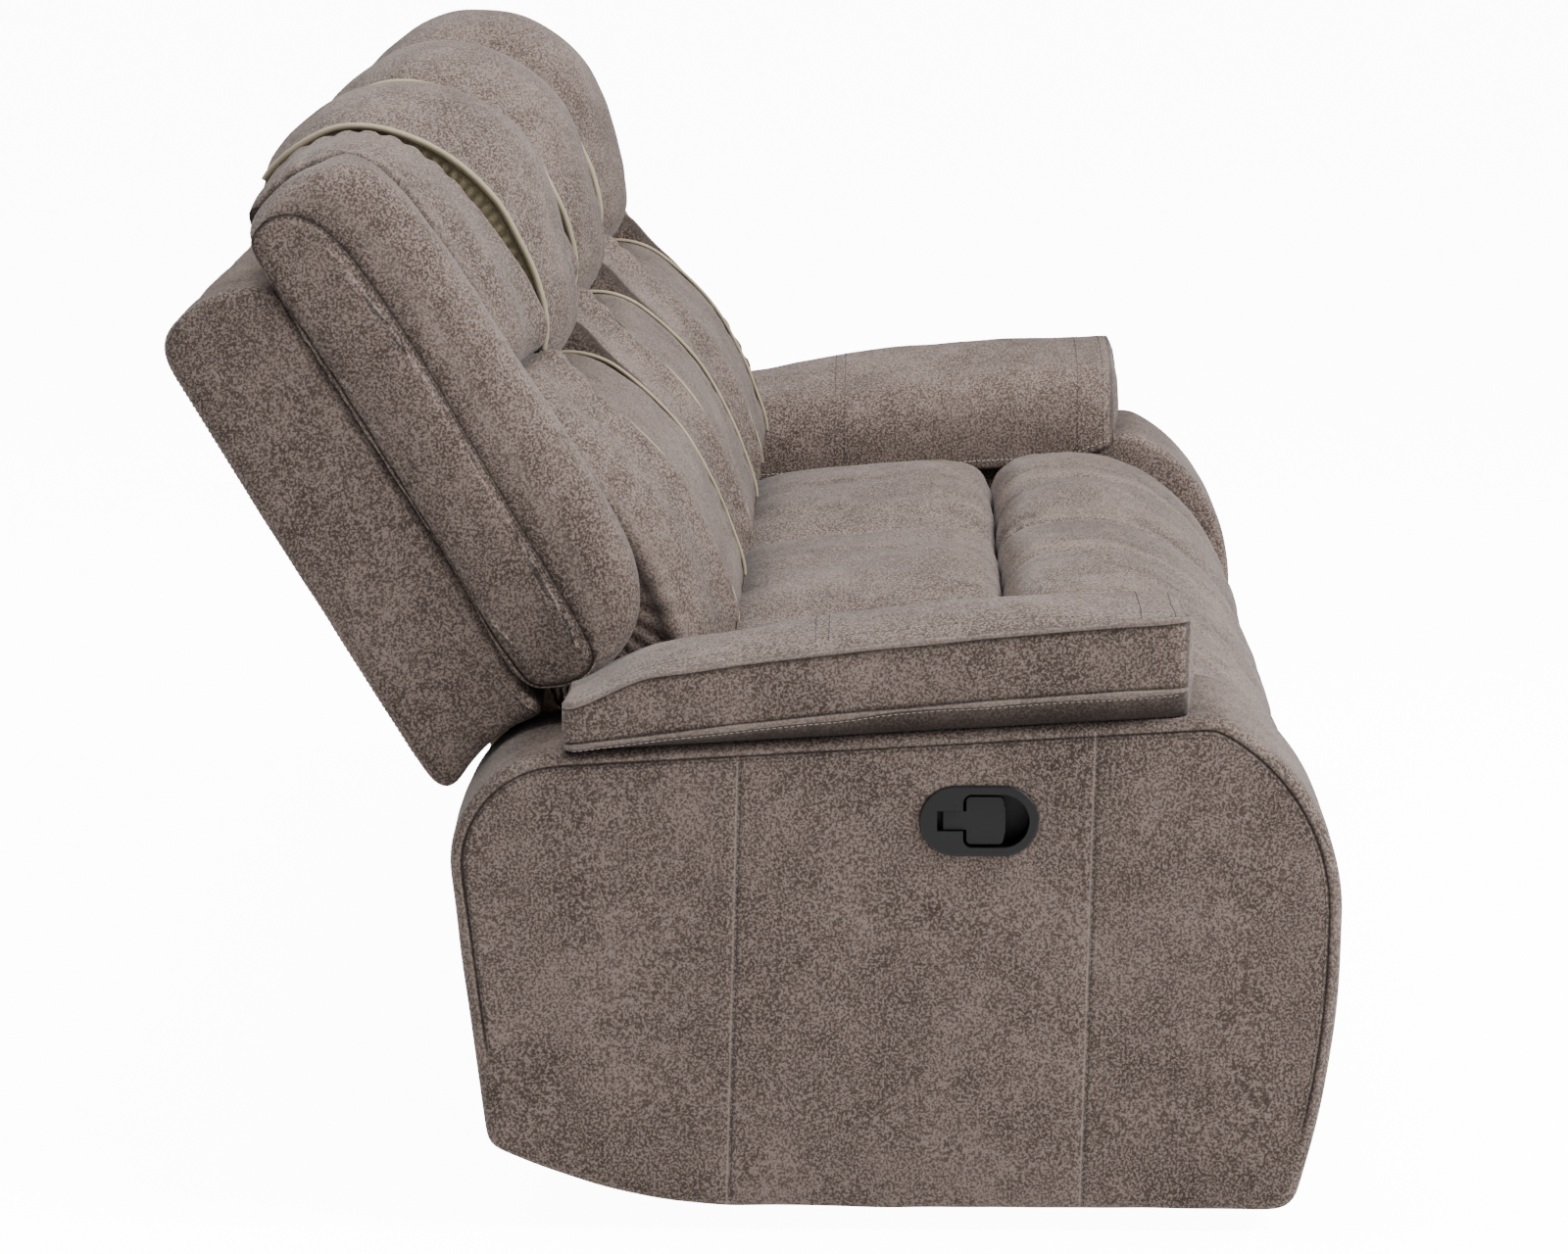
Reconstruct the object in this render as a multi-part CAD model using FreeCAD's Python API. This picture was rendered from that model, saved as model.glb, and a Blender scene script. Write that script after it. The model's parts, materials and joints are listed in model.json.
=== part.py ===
import FreeCAD, Part
import math
import os

# Three-seat reclining sofa. Millimetres. X runs along the width (the sitter's left is +X), the front faces -Y,
# Z is up. The origin is on the floor under the middle of the sofa.

V = FreeCAD.Vector
os.makedirs("parts", exist_ok=True)

# Overall layout
seat_pitch = 552.0          # one seat, centre to centre
seat_gap = 2.0              # between the cushions of two seats
arm_box_width = 235.0       # padded arm box, outside to inside
arm_pad_flap = 17.0         # how far the arm pad hangs over the arm's inner face
glide_height = 20.0
soft_gap = 0.3              # left between soft pieces and what carries them

# Arm box, side outline
arm_front_y = -548.0
arm_rear_radius = 107.0     # round of the rear top corner, about the recline pivot
arm_rear_foot_y = 242.0
arm_rear_foot_z = 76.0
arm_heel_y = 64.0           # where the rear underside comes down
arm_heel_z = 29.0
arm_front_top_y = -432.0
arm_front_top_z = 488.0
arm_wall = 18.0             # board, foam and cover together
arm_edge_round = 16.0

# Arm pad
pad_front_y = -402.0
pad_rear_y = 163.0
pad_side_height = 80.0
pad_crown = 114.0
pad_tuck = 7.0              # how far its foot is drawn in under the lower welt
pad_proud = 6.0             # how far it stands out of the arm's outer face
pad_flap_drop = 36.0
pad_rear_top = 503.0        # low enough for the wings to pass when the back reclines

# Recline pivot, in the side view, and the back's rest angle from upright
pivot_y = 170.0
pivot_z = 345.0
back_angle = 31.9
pivot_depth = 84.0          # from the back's rear face to the pivot

# Back, measured up the back from the pivot (u) and forward from its rear face (n)
shell_depth = 126.0
shell_top = 604.0
shell_wall = 14.0
shell_bottom_radius = 118.0  # about the pivot, clear of the arm's round corner
shell_corner = 28.0
wing_reach = 112.0          # how far the end backs reach out over the arms
wing_bottom_radius = 172.5
centre_panel_width = 280.0
lumbar_low = 35.0
lumbar_high = 358.0
lumbar_crown = 328.0
lumbar_side_high = 390.0
lumbar_side_crown = 316.0
head_low = 362.0
head_high = 693.0
head_crown = 362.0
head_side_low = 394.0
head_side_high = 676.0
head_side_crown = 308.0
wing_low = 118.0
wing_high = 662.0
wing_crown = 283.0
draw_in = 10.0              # how far a pillow's sides are drawn in near its ends
frame_rail = 32.0
frame_depth = 80.0
frame_bottom = 30.0
frame_top = 576.0
web_width = 50.0
web_thickness = 2.0
web_count = 4

# Seat
deck_z = 335.0              # top of the seat box
seat_box_height = 63.0
seat_box_front_y = -443.0
seat_box_rear_y = 95.0
board = 20.0                # timber thickness of the seat boxes
crease_y = -251.0           # between seat cushion and front roll
cushion_rear_y = 70.0
cushion_crown = 476.0
roll_crown = 479.0
spring_wire = 4.0
spring_count = 3
spring_waves = 6
spring_width = 60.0
roll_front_y = -540.0
roll_bottom_z = 302.0
channel_depth = 10.0         # of the valley between two seats
mid_seam_share = 0.6        # depth of a seat's middle seam against that

# Footrest and its links, in the side view, closed
footrest_bottom_z = 60.0
footrest_top_z = 290.0
footrest_board = 15.0
footrest_board_width = 500.0
footrest_side_gap = 6.0
link_pivot_y = -327.0
link_pivot_z = 242.0
lower_link = 204.0
upper_link = 318.0
foot_pivot_y = -436.0
foot_pivot_z = 92.0
foot_open_y = -801.0
foot_open_z = 335.0
link_width = 26.0
link_thickness = 4.0
link_gap = 1.0
link_pin_r = 5.0
pin_clearance = 0.06
torque_tube_r = 11.0
torque_tube_wall = 2.0

# Mechanism side plates
plate_thickness = 4.0
plate_ear_r = 18.0
bracket_reach = 120.0       # how far the back brackets run up the back frame
pivot_pin_r = 7.0

# Base
rail_bottom_z = 60.0
rail_height = 70.0
front_rail_y = -80.0
rear_rail_y = 205.0
rail_width = 40.0
leg_size = 45.0
glide_r = 22.0
glide_inset = 60.0
rear_panel_thickness = 14.0
batten_count = 8
batten_pitch = 200.0

# Pull handle
handle_y = -212.5
handle_z = 390.0
handle_length = 110.0
handle_height = 66.0
flange = 5.0
flange_proud = 3.0
cup_depth = 36.0
cup_wall = 2.5
finger_y = -234.0
finger_r = 25.0
pocket_corner = 8.0
lever_pivot_y = -181.0
lever_stem_height = 17.0
lever_head_y = -201.0
lever_head_front_y = -237.0
lever_head_height = 44.0
lever_head_bulge = 3.0      # of the head's front edge
lever_thickness = 6.0
lever_pin_r = 2.5
lever_pin_length = 26.0
cable_r = 2.5
cable_drop_z = 250.0

half_seats = 1.5 * seat_pitch
half_width = half_seats + arm_pad_flap + arm_box_width
arm_inner_x = half_width - arm_box_width
seat_half = seat_pitch / 2 - seat_gap / 2
lean = math.radians(back_angle)
plate_x = seat_half - board                      # outer face of a mechanism plate, from its seat's centre
bracket_x = plate_x - plate_thickness - link_gap  # outer face of the piece beside the plate


def save(name, shape):
    """Writes one piece, or one group of like pieces, under its node name."""
    shape.exportStep("parts/" + name + ".step")


def outline(start, *steps):
    """A closed wire in the side view. A step is (end,) for a line or (middle, end) for an arc."""
    edges = []
    here = start
    for step in steps + ((start,),):
        end = step[-1]
        a, b = V(0, *here), V(0, *end)
        if a.distanceToPoint(b) < 1e-6:
            continue
        if len(step) == 1:
            edges.append(Part.makeLine(a, b))
        else:
            edges.append(Part.Arc(a, V(0, *step[0]), b).toShape())
        here = end
    return Part.Wire(edges)


def slab(wire, x0, x1):
    """A side-view wire carried from x0 to x1."""
    face = Part.Face(wire)
    face.translate(V(x0, 0, 0))
    return face.extrude(V(x1 - x0, 0, 0))


def box(x0, x1, y0, y1, z0, z1):
    return Part.makeBox(x1 - x0, y1 - y0, z1 - z0, V(x0, y0, z0))


def rod(r, x0, x1, y, z):
    """A round bar along X."""
    return Part.makeCylinder(r, x1 - x0, V(x0, y, z), V(1, 0, 0))


def mirrored(shape):
    return shape.mirror(V(0, 0, 0), V(1, 0, 0))


def group(shapes):
    return Part.makeCompound(shapes)


def fused(shapes):
    return shapes[0].fuse(shapes[1:]).removeSplitter()


def on_back(u, n):
    """Side-view place of a point u up the back from the pivot and n forward of its rear face."""
    f = n - pivot_depth
    y = pivot_y + u * math.sin(lean) - f * math.cos(lean)
    z = pivot_z + u * math.cos(lean) + f * math.sin(lean)
    return (y, z)


def on_circle(r, angle):
    """Side-view place on a circle about the recline pivot; the angle is from the rear, upwards."""
    a = math.radians(angle)
    return (pivot_y + r * math.cos(a), pivot_z + r * math.sin(a))


def arm_outline():
    """Side outline of the arm box: flat foot, raised heel, rear round about the pivot, full front."""
    return outline(
        (arm_heel_y - 44, glide_height),
        ((arm_front_y + 57, glide_height),),
        ((arm_front_y + 43, glide_height + 5), (arm_front_y + 37, glide_height + 20)),
        ((arm_front_y + 9, 0.34 * arm_front_top_z), (arm_front_y, 0.595 * arm_front_top_z)),
        ((arm_front_y + 31, 0.846 * arm_front_top_z), (arm_front_top_y, arm_front_top_z)),
        (on_circle(arm_rear_radius, 90),),
        (on_circle(arm_rear_radius, 45), on_circle(arm_rear_radius, 0)),
        ((arm_rear_foot_y, arm_rear_foot_z),),
        ((arm_heel_y, arm_heel_z),),
    )


def arm_top_z(y):
    """Height of the arm box's flat top, which rises to the front."""
    rear = pivot_z + arm_rear_radius
    share = (pivot_y - y) / (pivot_y - arm_front_top_y)
    return rear + share * (arm_front_top_z - rear)


def stadium(length, height, x0, x1, y=0.0, z=0.0):
    """A long round-ended plate along Y, from x0 to x1."""
    r = height / 2
    a = length / 2 - r
    wire = outline(
        (y - a, z - r),
        ((y + a, z - r),),
        ((y + a + r, z), (y + a, z + r)),
        ((y - a, z + r),),
        ((y - a - r, z), (y - a, z - r)),
    )
    return slab(wire, x0, x1)


def right_arm_cover():
    """Padded, fabric-covered arm box: hollow, with the handle's hole outside and the cable's hole inside."""
    wire = arm_outline()
    body = slab(wire, -half_width, -arm_inner_x)
    rim = [e for e in body.Edges if e.BoundBox.XMax < -half_width + 0.01]
    body = body.makeFillet(arm_edge_round, rim)
    hollow = slab(wire.makeOffset2D(-arm_wall), -half_width + arm_wall, -arm_inner_x - arm_wall)
    hole = stadium(handle_length - 2 * flange, handle_height - 2 * flange,
                   -half_width - 1, -half_width + arm_wall + 1, handle_y, handle_z)
    cable_hole = rod(cable_r + 1, -arm_inner_x - arm_wall - 1, -arm_inner_x + 1,
                     handle_y, cable_drop_z)
    return body.cut([hollow, hole, cable_hole])


def right_arm_frame():
    """Timber frame inside the arm: two ring panels with blocks between them."""
    ring = 34.0
    panel = 15.0
    wire = arm_outline()
    outer = wire.makeOffset2D(-arm_wall - soft_gap)
    inner = wire.makeOffset2D(-arm_wall - soft_gap - ring)
    x0 = -half_width + arm_wall + soft_gap
    x1 = -arm_inner_x - arm_wall - soft_gap
    parts = [slab(outer, x0, x0 + panel).cut(slab(inner, x0 - 1, x0 + panel + 1)),
             slab(outer, x1 - panel, x1).cut(slab(inner, x1 - panel - 1, x1 + 1))]
    ring_core = slab(outer, x0 + panel, x1 - panel).cut(slab(inner, x0, x1))
    middle_z = arm_front_top_z / 2
    for y, low, high in (
        (arm_front_y + 98, 0, 2 * middle_z), (arm_rear_foot_y - 44, 0, 2 * middle_z),
        (handle_y - 18, 0, middle_z), (pivot_y - 210, middle_z, 2 * middle_z),
    ):
        parts.append(ring_core.common(box(x0, x1, y - 20, y + 20, low, high)))
    return fused(parts)


def pad_section(y, side, crown, outer, inner, drop):
    """Cross-section of an arm pad at y: flat seat on the arm, a flap inside, sides and a crown."""
    z = arm_top_z(y) + soft_gap
    low = V(outer + pad_tuck, y, z)
    side_top = V(outer, y, z + side)
    mid_top = V((outer + inner) / 2, y, z + crown)
    inner_top = V(inner, y, z + side)
    inner_low = V(inner, y, z - drop)
    flap_low = V(-arm_inner_x + soft_gap, y, z - drop)
    flap_top = V(-arm_inner_x + soft_gap, y, z)
    edges = [
        Part.makeLine(low, side_top), Part.Arc(side_top, mid_top, inner_top).toShape(),
        Part.makeLine(inner_top, inner_low), Part.makeLine(inner_low, flap_low),
        Part.makeLine(flap_low, flap_top), Part.makeLine(flap_top, low),
    ]
    return Part.Wire(edges)


def right_arm_pad():
    """Pillow top of the arm, crowned, drawn in at both ends, with a flap over the arm's inner face."""
    outer = -half_width - pad_proud
    inner = -half_seats - soft_gap
    rear = (pad_rear_top - arm_top_z(pad_rear_y)) / pad_side_height
    length = pad_rear_y - pad_front_y
    rows = [
        (0.0, rear * 0.6, rear * 0.53, 10, 8, 0.55), (0.025, rear * 0.8, rear * 0.67, 4, 4, 0.78),
        (0.103, rear - 0.05, rear * 0.7, 1, 2, 1.0), (0.2, 0.875, 0.772, 1, 2, 1.0),
        (0.43, 1.0, 0.947, 1, 2, 1.0), (0.678, 1.0, 1.0, 1, 2, 1.0), (0.873, 1.0, 0.895, 2, 3, 0.9),
        (0.972, 0.925, 0.702, 5, 4, 0.72), (1.0, 0.45, 0.439, 16, 10, 0.33),
    ]
    wires = []
    for share, side, crown, a, b, drop in rows:
        wires.append(pad_section(
            pad_rear_y - share * length, side * pad_side_height, crown * pad_crown,
            outer + a, inner - b, drop * pad_flap_drop))
    return Part.makeLoft(wires, True, False)


def back_section(u, base, side_a, crown, side_b, x0, x1, middle=0.5):
    """Cross-section of a back pad at u: flat base, straight sides, one crowned arc."""
    def at(x, n):
        y, z = on_back(u, n)
        return V(x, y, z)
    a, b = at(x0, base), at(x0, side_a)
    m, c, d = at(x0 + (x1 - x0) * middle, crown), at(x1, side_b), at(x1, base)
    return Part.Wire([
        Part.makeLine(a, b), Part.Arc(b, m, c).toShape(), Part.makeLine(c, d), Part.makeLine(d, a),
    ])


def back_pad(rows, low, high, crown, x0, x1, middle=0.5):
    """A pillow on the back from u low to u high. A row gives its place as a share of that length, then the
    heights at x0, in the middle and at x1 as shares of the crown's, and how far the sides are drawn in."""
    base = shell_depth + soft_gap
    wires = []
    for place, a, m, b, drawn in rows:
        u = low + place * (high - low)
        heights = [base + share * (crown - base) for share in (a, m, b)]
        inset = drawn * draw_in
        wires.append(back_section(u, base, *heights, x0 + inset, x1 - inset, middle))
    return Part.makeLoft(wires, True, False)


def lumbar_centre(x):
    half = centre_panel_width / 2 - 0.5
    rows = [
        (0.0, 0.64, 0.71, 0.64, 0.5), (0.09, 0.85, 0.9, 0.85, 0.2), (0.27, 0.93, 0.97, 0.93, 0.1),
        (0.51, 0.96, 1.0, 0.96, 0.1), (0.77, 0.89, 0.93, 0.89, 0.1), (0.93, 0.74, 0.79, 0.74, 0.3),
        (1.0, 0.52, 0.58, 0.52, 0.7),
    ]
    return back_pad(rows, lumbar_low, lumbar_high, lumbar_crown, x - half, x + half)


def lumbar_side(x, side):
    """Side pillow of the lumbar part; side is -1 for the one towards -X."""
    rows = [
        (0.0, 0.63, 0.63, 0.46, 0.5), (0.08, 0.85, 0.86, 0.64, 0.2), (0.25, 0.95, 0.96, 0.75, 0.1),
        (0.47, 0.98, 1.0, 0.78, 0.1), (0.7, 0.92, 0.94, 0.76, 0.1), (0.89, 0.79, 0.81, 0.67, 0.3),
        (1.0, 0.58, 0.59, 0.47, 0.7),
    ]
    return side_pad(rows, lumbar_low, lumbar_side_high, lumbar_side_crown, x, side)


def head_side(x, side):
    rows = [
        (0.0, 0.63, 0.65, 0.52, 0.7), (0.11, 0.92, 0.91, 0.71, 0.3), (0.305, 0.98, 0.99, 0.77, 0.1),
        (0.52, 0.96, 1.0, 0.78, 0.1), (0.73, 0.88, 0.91, 0.75, 0.1), (0.87, 0.775, 0.8, 0.68, 0.3),
        (0.957, 0.6, 0.625, 0.53, 0.7), (1.0, 0.36, 0.385, 0.32, 1.4),
    ]
    return side_pad(rows, head_side_low, head_side_high, head_side_crown, x, side)


def side_pad(rows, low, high, crown, x, side):
    """A pad beside the centre panel: the first height of a row is at the centre panel."""
    near = x + side * (centre_panel_width / 2 + 0.5)
    far = x + side * seat_half
    if side < 0:
        turned = [(place, b, m, a, drawn) for place, a, m, b, drawn in rows]
        return back_pad(turned, low, high, crown, far, near)
    return back_pad(rows, low, high, crown, near, far)


def head_centre(x):
    """Raised head pillow, whose crown rolls over the top of the back."""
    half = centre_panel_width / 2 - 0.5
    rows = [
        (0.0, 0.45, 0.52, 0.45, 0.7), (0.09, 0.66, 0.76, 0.66, 0.3), (0.205, 0.745, 0.87, 0.745, 0.1),
        (0.42, 0.8, 0.97, 0.8, 0.1), (0.59, 0.78, 1.0, 0.78, 0.1), (0.76, 0.68, 0.93, 0.68, 0.1),
        (0.89, 0.51, 0.78, 0.51, 0.3), (0.96, 0.33, 0.6, 0.33, 0.8), (1.0, 0.145, 0.365, 0.145, 1.8),
    ]
    return back_pad(rows, head_low, head_high, head_crown, x - half, x + half)


def right_wing():
    """Bolster on the outer side of the end back, over the arm; its foot follows a circle about the pivot."""
    x0 = -half_seats - wing_reach
    x1 = -half_seats - 1
    rows = [
        (0.0, 0.51, 0.57, 0.52, 2.6), (0.04, 0.585, 0.79, 0.7, 1.2), (0.09, 0.59, 0.93, 0.83, 0.5),
        (0.19, 0.585, 0.98, 0.865, 0.3), (0.61, 0.57, 1.0, 0.865, 0.3), (0.81, 0.55, 0.955, 0.82, 0.3),
        (0.926, 0.445, 0.84, 0.725, 0.6), (0.978, 0.28, 0.61, 0.52, 1.2), (1.0, 0.125, 0.29, 0.24, 2.4),
    ]
    swing = rod(wing_bottom_radius, x0 - 10, x1 + 10, pivot_y, pivot_z)
    return back_pad(rows, wing_low, wing_high, wing_crown, x0, x1, 0.45).cut(swing)


def circle_on_back(r, n):
    """The place at depth n of the back on a circle of radius r about the pivot."""
    f = n - pivot_depth
    return on_back(math.sqrt(r * r - f * f), n)


def shell_outline(wall=0.0, open_front=0.0):
    """Side outline of a back shell, moved in by the wall, and carried out of the front when it is a hollow."""
    r = shell_bottom_radius + wall
    front = shell_depth + open_front
    top = shell_top - wall
    c = shell_corner
    return outline(
        circle_on_back(r, wall),
        (on_back(top - c, wall),),
        (on_back(top - 0.29 * c, wall + 0.29 * c), on_back(top, wall + c)),
        (on_back(top - 22, front),),
        (circle_on_back(r, min(front, shell_depth)),) if open_front == 0 else
        (on_back(r, front),),
        (circle_on_back(r, pivot_depth * 0.6), circle_on_back(r, wall)) if open_front == 0 else
        (on_back(r, pivot_depth),),
    )


def back_shell(x0, x1, open_x0, open_x1):
    """Outer back: rear wall, sides, top, and a foot only where the back stands out over an arm."""
    body = slab(shell_outline(), x0, x1)
    hollow = slab(shell_outline(shell_wall, 60), x0 + shell_wall, x1 - shell_wall)
    low = [on_back(0, shell_wall), on_back(200, shell_wall), on_back(200, 300), on_back(0, 300)]
    foot = slab(outline(low[0], (low[1],), (low[2],), (low[3],)), open_x0, open_x1)
    return body.cut([hollow, foot])


def back_frame(x, x0, x1, half):
    """Timber frame of a back: side rails inside the brackets, cross rails out to the shell, webbing straps."""
    n0, n1 = shell_depth - web_thickness - frame_depth, shell_depth - web_thickness
    left, right = x0 + shell_wall + 0.5, x1 - shell_wall - 0.5

    def rail(u0, u1, xa, xb, na=n0, nb=n1):
        a, b, c, d = on_back(u0, na), on_back(u1, na), on_back(u1, nb), on_back(u0, nb)
        return slab(outline(a, (b,), (c,), (d,)), xa, xb)

    timber = fused([
        rail(frame_bottom, frame_top, x - half, x - half + frame_rail),
        rail(frame_bottom, frame_top, x + half - frame_rail, x + half),
        rail(frame_top - frame_rail, frame_top, left, right),
        rail(bracket_reach + 14, bracket_reach + 14 + frame_rail, left, right),
    ])
    straps = []
    for i in range(web_count):
        u = bracket_reach + 70 + i * (frame_top - bracket_reach - 75) / web_count
        straps.append(rail(u, u + web_width, x - half, x + half, n1, n1 + web_thickness))
    return group([timber] + straps)


def back_brackets(x):
    """Two steel brackets that carry a back on the pivot pins, inside its side rails."""
    shapes = []
    for side in (-1, 1):
        xa = bracket_x if side > 0 else -bracket_x
        x0, x1 = sorted((x + xa, x + xa - side * plate_thickness))
        strap = [on_back(0, pivot_depth - 16), on_back(bracket_reach, pivot_depth - 16),
                 on_back(bracket_reach, pivot_depth + 16), on_back(0, pivot_depth + 16)]
        plate = slab(outline(strap[0], (strap[1],), (strap[2],), (strap[3],)), x0, x1)
        eye = rod(16, x0, x1, pivot_y, pivot_z)
        bore = rod(pivot_pin_r + pin_clearance, x0 - 1, x1 + 1, pivot_y, pivot_z)
        shapes.append(plate.fuse(eye).removeSplitter().cut(bore))
    return group(shapes)


def seat_cushion(x):
    """Crowned seat cushion, drawn in at its sides and ends."""
    low = deck_z + spring_wire + soft_gap
    front = crease_y + 1
    rows = [
        (0.0, 0.545, 0.69, 0.9), (0.055, 0.72, 0.9, 0.4), (0.31, 0.765, 1.0, 0.2),
        (0.72, 0.72, 0.94, 0.2), (0.92, 0.575, 0.78, 0.4), (1.0, 0.325, 0.46, 0.9),
    ]
    wires = []
    for place, side, crown, drawn in rows:
        y = front + place * (cushion_rear_y - front)
        side, crown = (low + share * (cushion_crown - low) for share in (side, crown))
        x0, x1 = x - seat_half + drawn * draw_in, x + seat_half - drawn * draw_in
        a, b, m = V(x0, y, low), V(x0, y, side), V(x, y, crown)
        c, d = V(x1, y, side), V(x1, y, low)
        wires.append(Part.Wire([
            Part.makeLine(a, b), Part.Arc(b, m, c).toShape(), Part.makeLine(c, d), Part.makeLine(d, a),
        ]))
    return Part.makeLoft(wires, True, False)


def channel_rows(x, half):
    """Places across a channelled pad and how far it is drawn in there: a sewn seam in the middle of the seat,
    and deeper valleys at its two sides."""
    rows = []
    for share, depth in (
        (-1.0, 1.0), (-0.93, 0.35), (-0.8, 0.05), (-0.5, 0.0), (-0.12, 0.2), (0.0, mid_seam_share),
        (0.12, 0.2), (0.5, 0.0), (0.8, 0.05), (0.93, 0.35), (1.0, 1.0),
    ):
        rows.append((x + half * share, channel_depth * depth))
    return rows


def front_roll(x):
    """Front roll of a seat with fore-and-aft channels; it wraps over the front of the seat box."""
    seat = deck_z + spring_wire + soft_gap
    rear = crease_y
    front = roll_front_y
    rise = roll_crown - seat
    wires = []
    for at, d in channel_rows(x, seat_half):
        wire = outline(
            (rear, seat),
            ((rear, seat + 0.63 * rise - d),),
            ((rear - 18, seat + 0.85 * rise - d), (rear - 62, seat + 0.965 * rise - d)),
            ((rear - 122, seat + rise - d), (rear - 182, seat + 0.857 * rise - d)),
            ((front + 45, seat + 0.54 * rise - d), (front + 8 + d, seat + 0.04 * rise)),
            ((front + d, roll_bottom_z),),
            ((seat_box_front_y - soft_gap, roll_bottom_z),),
            ((seat_box_front_y - soft_gap, seat),),
        )
        wire.translate(V(at, 0, 0))
        wires.append(wire)
    return Part.makeLoft(wires, True, True)


def footrest_shape(x, half, rear):
    """Channelled pad of a footrest, standing, from its rear plane to its crowned front."""
    front = roll_front_y
    wires = []
    for at, d in channel_rows(x, half):
        wire = outline(
            (rear, footrest_bottom_z + 5),
            ((rear, footrest_top_z - 4),),
            ((rear - 34, footrest_top_z), (front + 14 + d, footrest_top_z - 20)),
            ((front + d, (footrest_top_z + footrest_bottom_z) / 2), (front + 14 + d, footrest_bottom_z + 18)),
            ((rear - 34, footrest_bottom_z), (rear, footrest_bottom_z + 5)),
        )
        wire.translate(V(at, 0, 0))
        wires.append(wire)
    return Part.makeLoft(wires, True, True)


def seat_box(x):
    """Timber box of an end seat: side, front and rear rails as separate boards."""
    z0, z1 = deck_z - seat_box_height, deck_z
    side = seat_half
    inner = side - board
    shapes = []
    for s in (-1, 1):
        x0, x1 = sorted((x + s * side, x + s * inner))
        shapes.append(box(x0, x1, seat_box_front_y, seat_box_rear_y, z0, z1))
    reach = inner - plate_thickness
    shapes.append(box(x - inner, x + inner, seat_box_front_y, seat_box_front_y + board, z0, z1))
    shapes.append(box(x - reach, x + reach, seat_box_rear_y - board, seat_box_rear_y, z0, z1))
    return group(shapes)


def spring(x):
    """One sinuous seat spring: straight runs across, joined by half rounds."""
    y0, y1 = seat_box_front_y + board / 2, seat_box_rear_y - board / 2
    step = (y1 - y0) / (2 * spring_waves)
    r = step / 2
    run = spring_width / 2 - r
    w = spring_wire / 2
    edges = []
    for edge in (w, -w):
        here = V(x - run, y0 + edge, 0)
        side = 1
        for i in range(2 * spring_waves):
            y = y0 + i * step
            bend = r - side * edge
            a = V(x + side * run, y + r - bend, 0)
            b = V(x + side * run, y + r + bend, 0)
            edges.append(Part.makeLine(here, a))
            edges.append(Part.Arc(a, V(x + side * (run + bend), y + r, 0), b).toShape())
            here = b
            side = -side
        last = V(x + side * run, here.y, 0)
        edges.append(Part.makeLine(here, last))
        if edge > 0:
            far = last
    edges.append(Part.makeLine(far, last))
    edges.append(Part.makeLine(V(x - run, y0 + w, 0), V(x - run, y0 - w, 0)))
    ribbon = Part.Face(Part.Wire(Part.__sortEdges__(edges)))
    ribbon.translate(V(0, 0, deck_z))
    return ribbon.extrude(V(0, 0, spring_wire))


def seat_springs():
    shapes = []
    for seat in (-1, 0, 1):
        for i in range(spring_count):
            x = seat * seat_pitch + (i - (spring_count - 1) / 2) * (2 * plate_x - 60) / spring_count
            shapes.append(spring(x))
    return group(shapes)


def mechanism_plates(x):
    """Two steel side plates of an end seat: link pivot in front, recline pin at the rear ear, foot on the rails."""
    shapes = []
    z0 = rail_bottom_z + rail_height
    for s in (-1, 1):
        x0, x1 = sorted((x + s * plate_x, x + s * (plate_x - plate_thickness)))
        front = link_pivot_y - 24
        wire = outline(
            (front, link_pivot_z - 22),
            ((front, deck_z - 8),),
            ((120, deck_z - 8),),
            ((pivot_y - plate_ear_r, pivot_z),),
            ((pivot_y, pivot_z + plate_ear_r), (pivot_y + plate_ear_r, pivot_z)),
            ((rear_rail_y + 18, z0 + 60),),
            ((rear_rail_y + 18, z0),),
            ((rear_rail_y - 18, z0),),
            ((rear_rail_y - 40, z0 + 70),),
            ((front_rail_y + 60, z0 + 70),),
            ((front_rail_y + 18, z0),),
            ((front_rail_y - 18, z0),),
            ((front_rail_y - 40, link_pivot_z - 30),),
        )
        plate = slab(wire, x0, x1)
        tube_hole = rod(torque_tube_r + pin_clearance, x0 - 1, x1 + 1, link_pivot_y, link_pivot_z)
        inward = -s
        pin_start = x + s * plate_x
        pin_end = pin_start + inward * (2 * plate_thickness + link_gap)
        pin_x = sorted((pin_start, pin_end + inward * 0.5))
        pin = rod(pivot_pin_r, pin_x[0], pin_x[1], pivot_y, pivot_z)
        head_x = sorted((pin_end + inward * 0.5, pin_end + inward * 5))
        head = rod(pivot_pin_r + 5, head_x[0], head_x[1], pivot_y, pivot_z)
        shapes.append(fused([plate, pin, head]).cut(tube_hole))
    return group(shapes)


def direction(a):
    """Unit step forward (-Y) turned up by the angle a."""
    return (-math.cos(a), math.sin(a))


def link_angles(foot):
    """Angles of the lower and upper link when the foot pivot is at a given place."""
    dy, dz = foot[0] - link_pivot_y, foot[1] - link_pivot_z
    reach = math.hypot(dy, dz)
    share = (lower_link ** 2 + reach ** 2 - upper_link ** 2) / (2 * lower_link * reach)
    lower = math.atan2(dz, -dy) - math.acos(share)
    ky = link_pivot_y + lower_link * direction(lower)[0]
    kz = link_pivot_z + lower_link * direction(lower)[1]
    upper = math.atan2(foot[1] - kz, -(foot[0] - ky))
    return lower, upper, (ky, kz)


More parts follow.
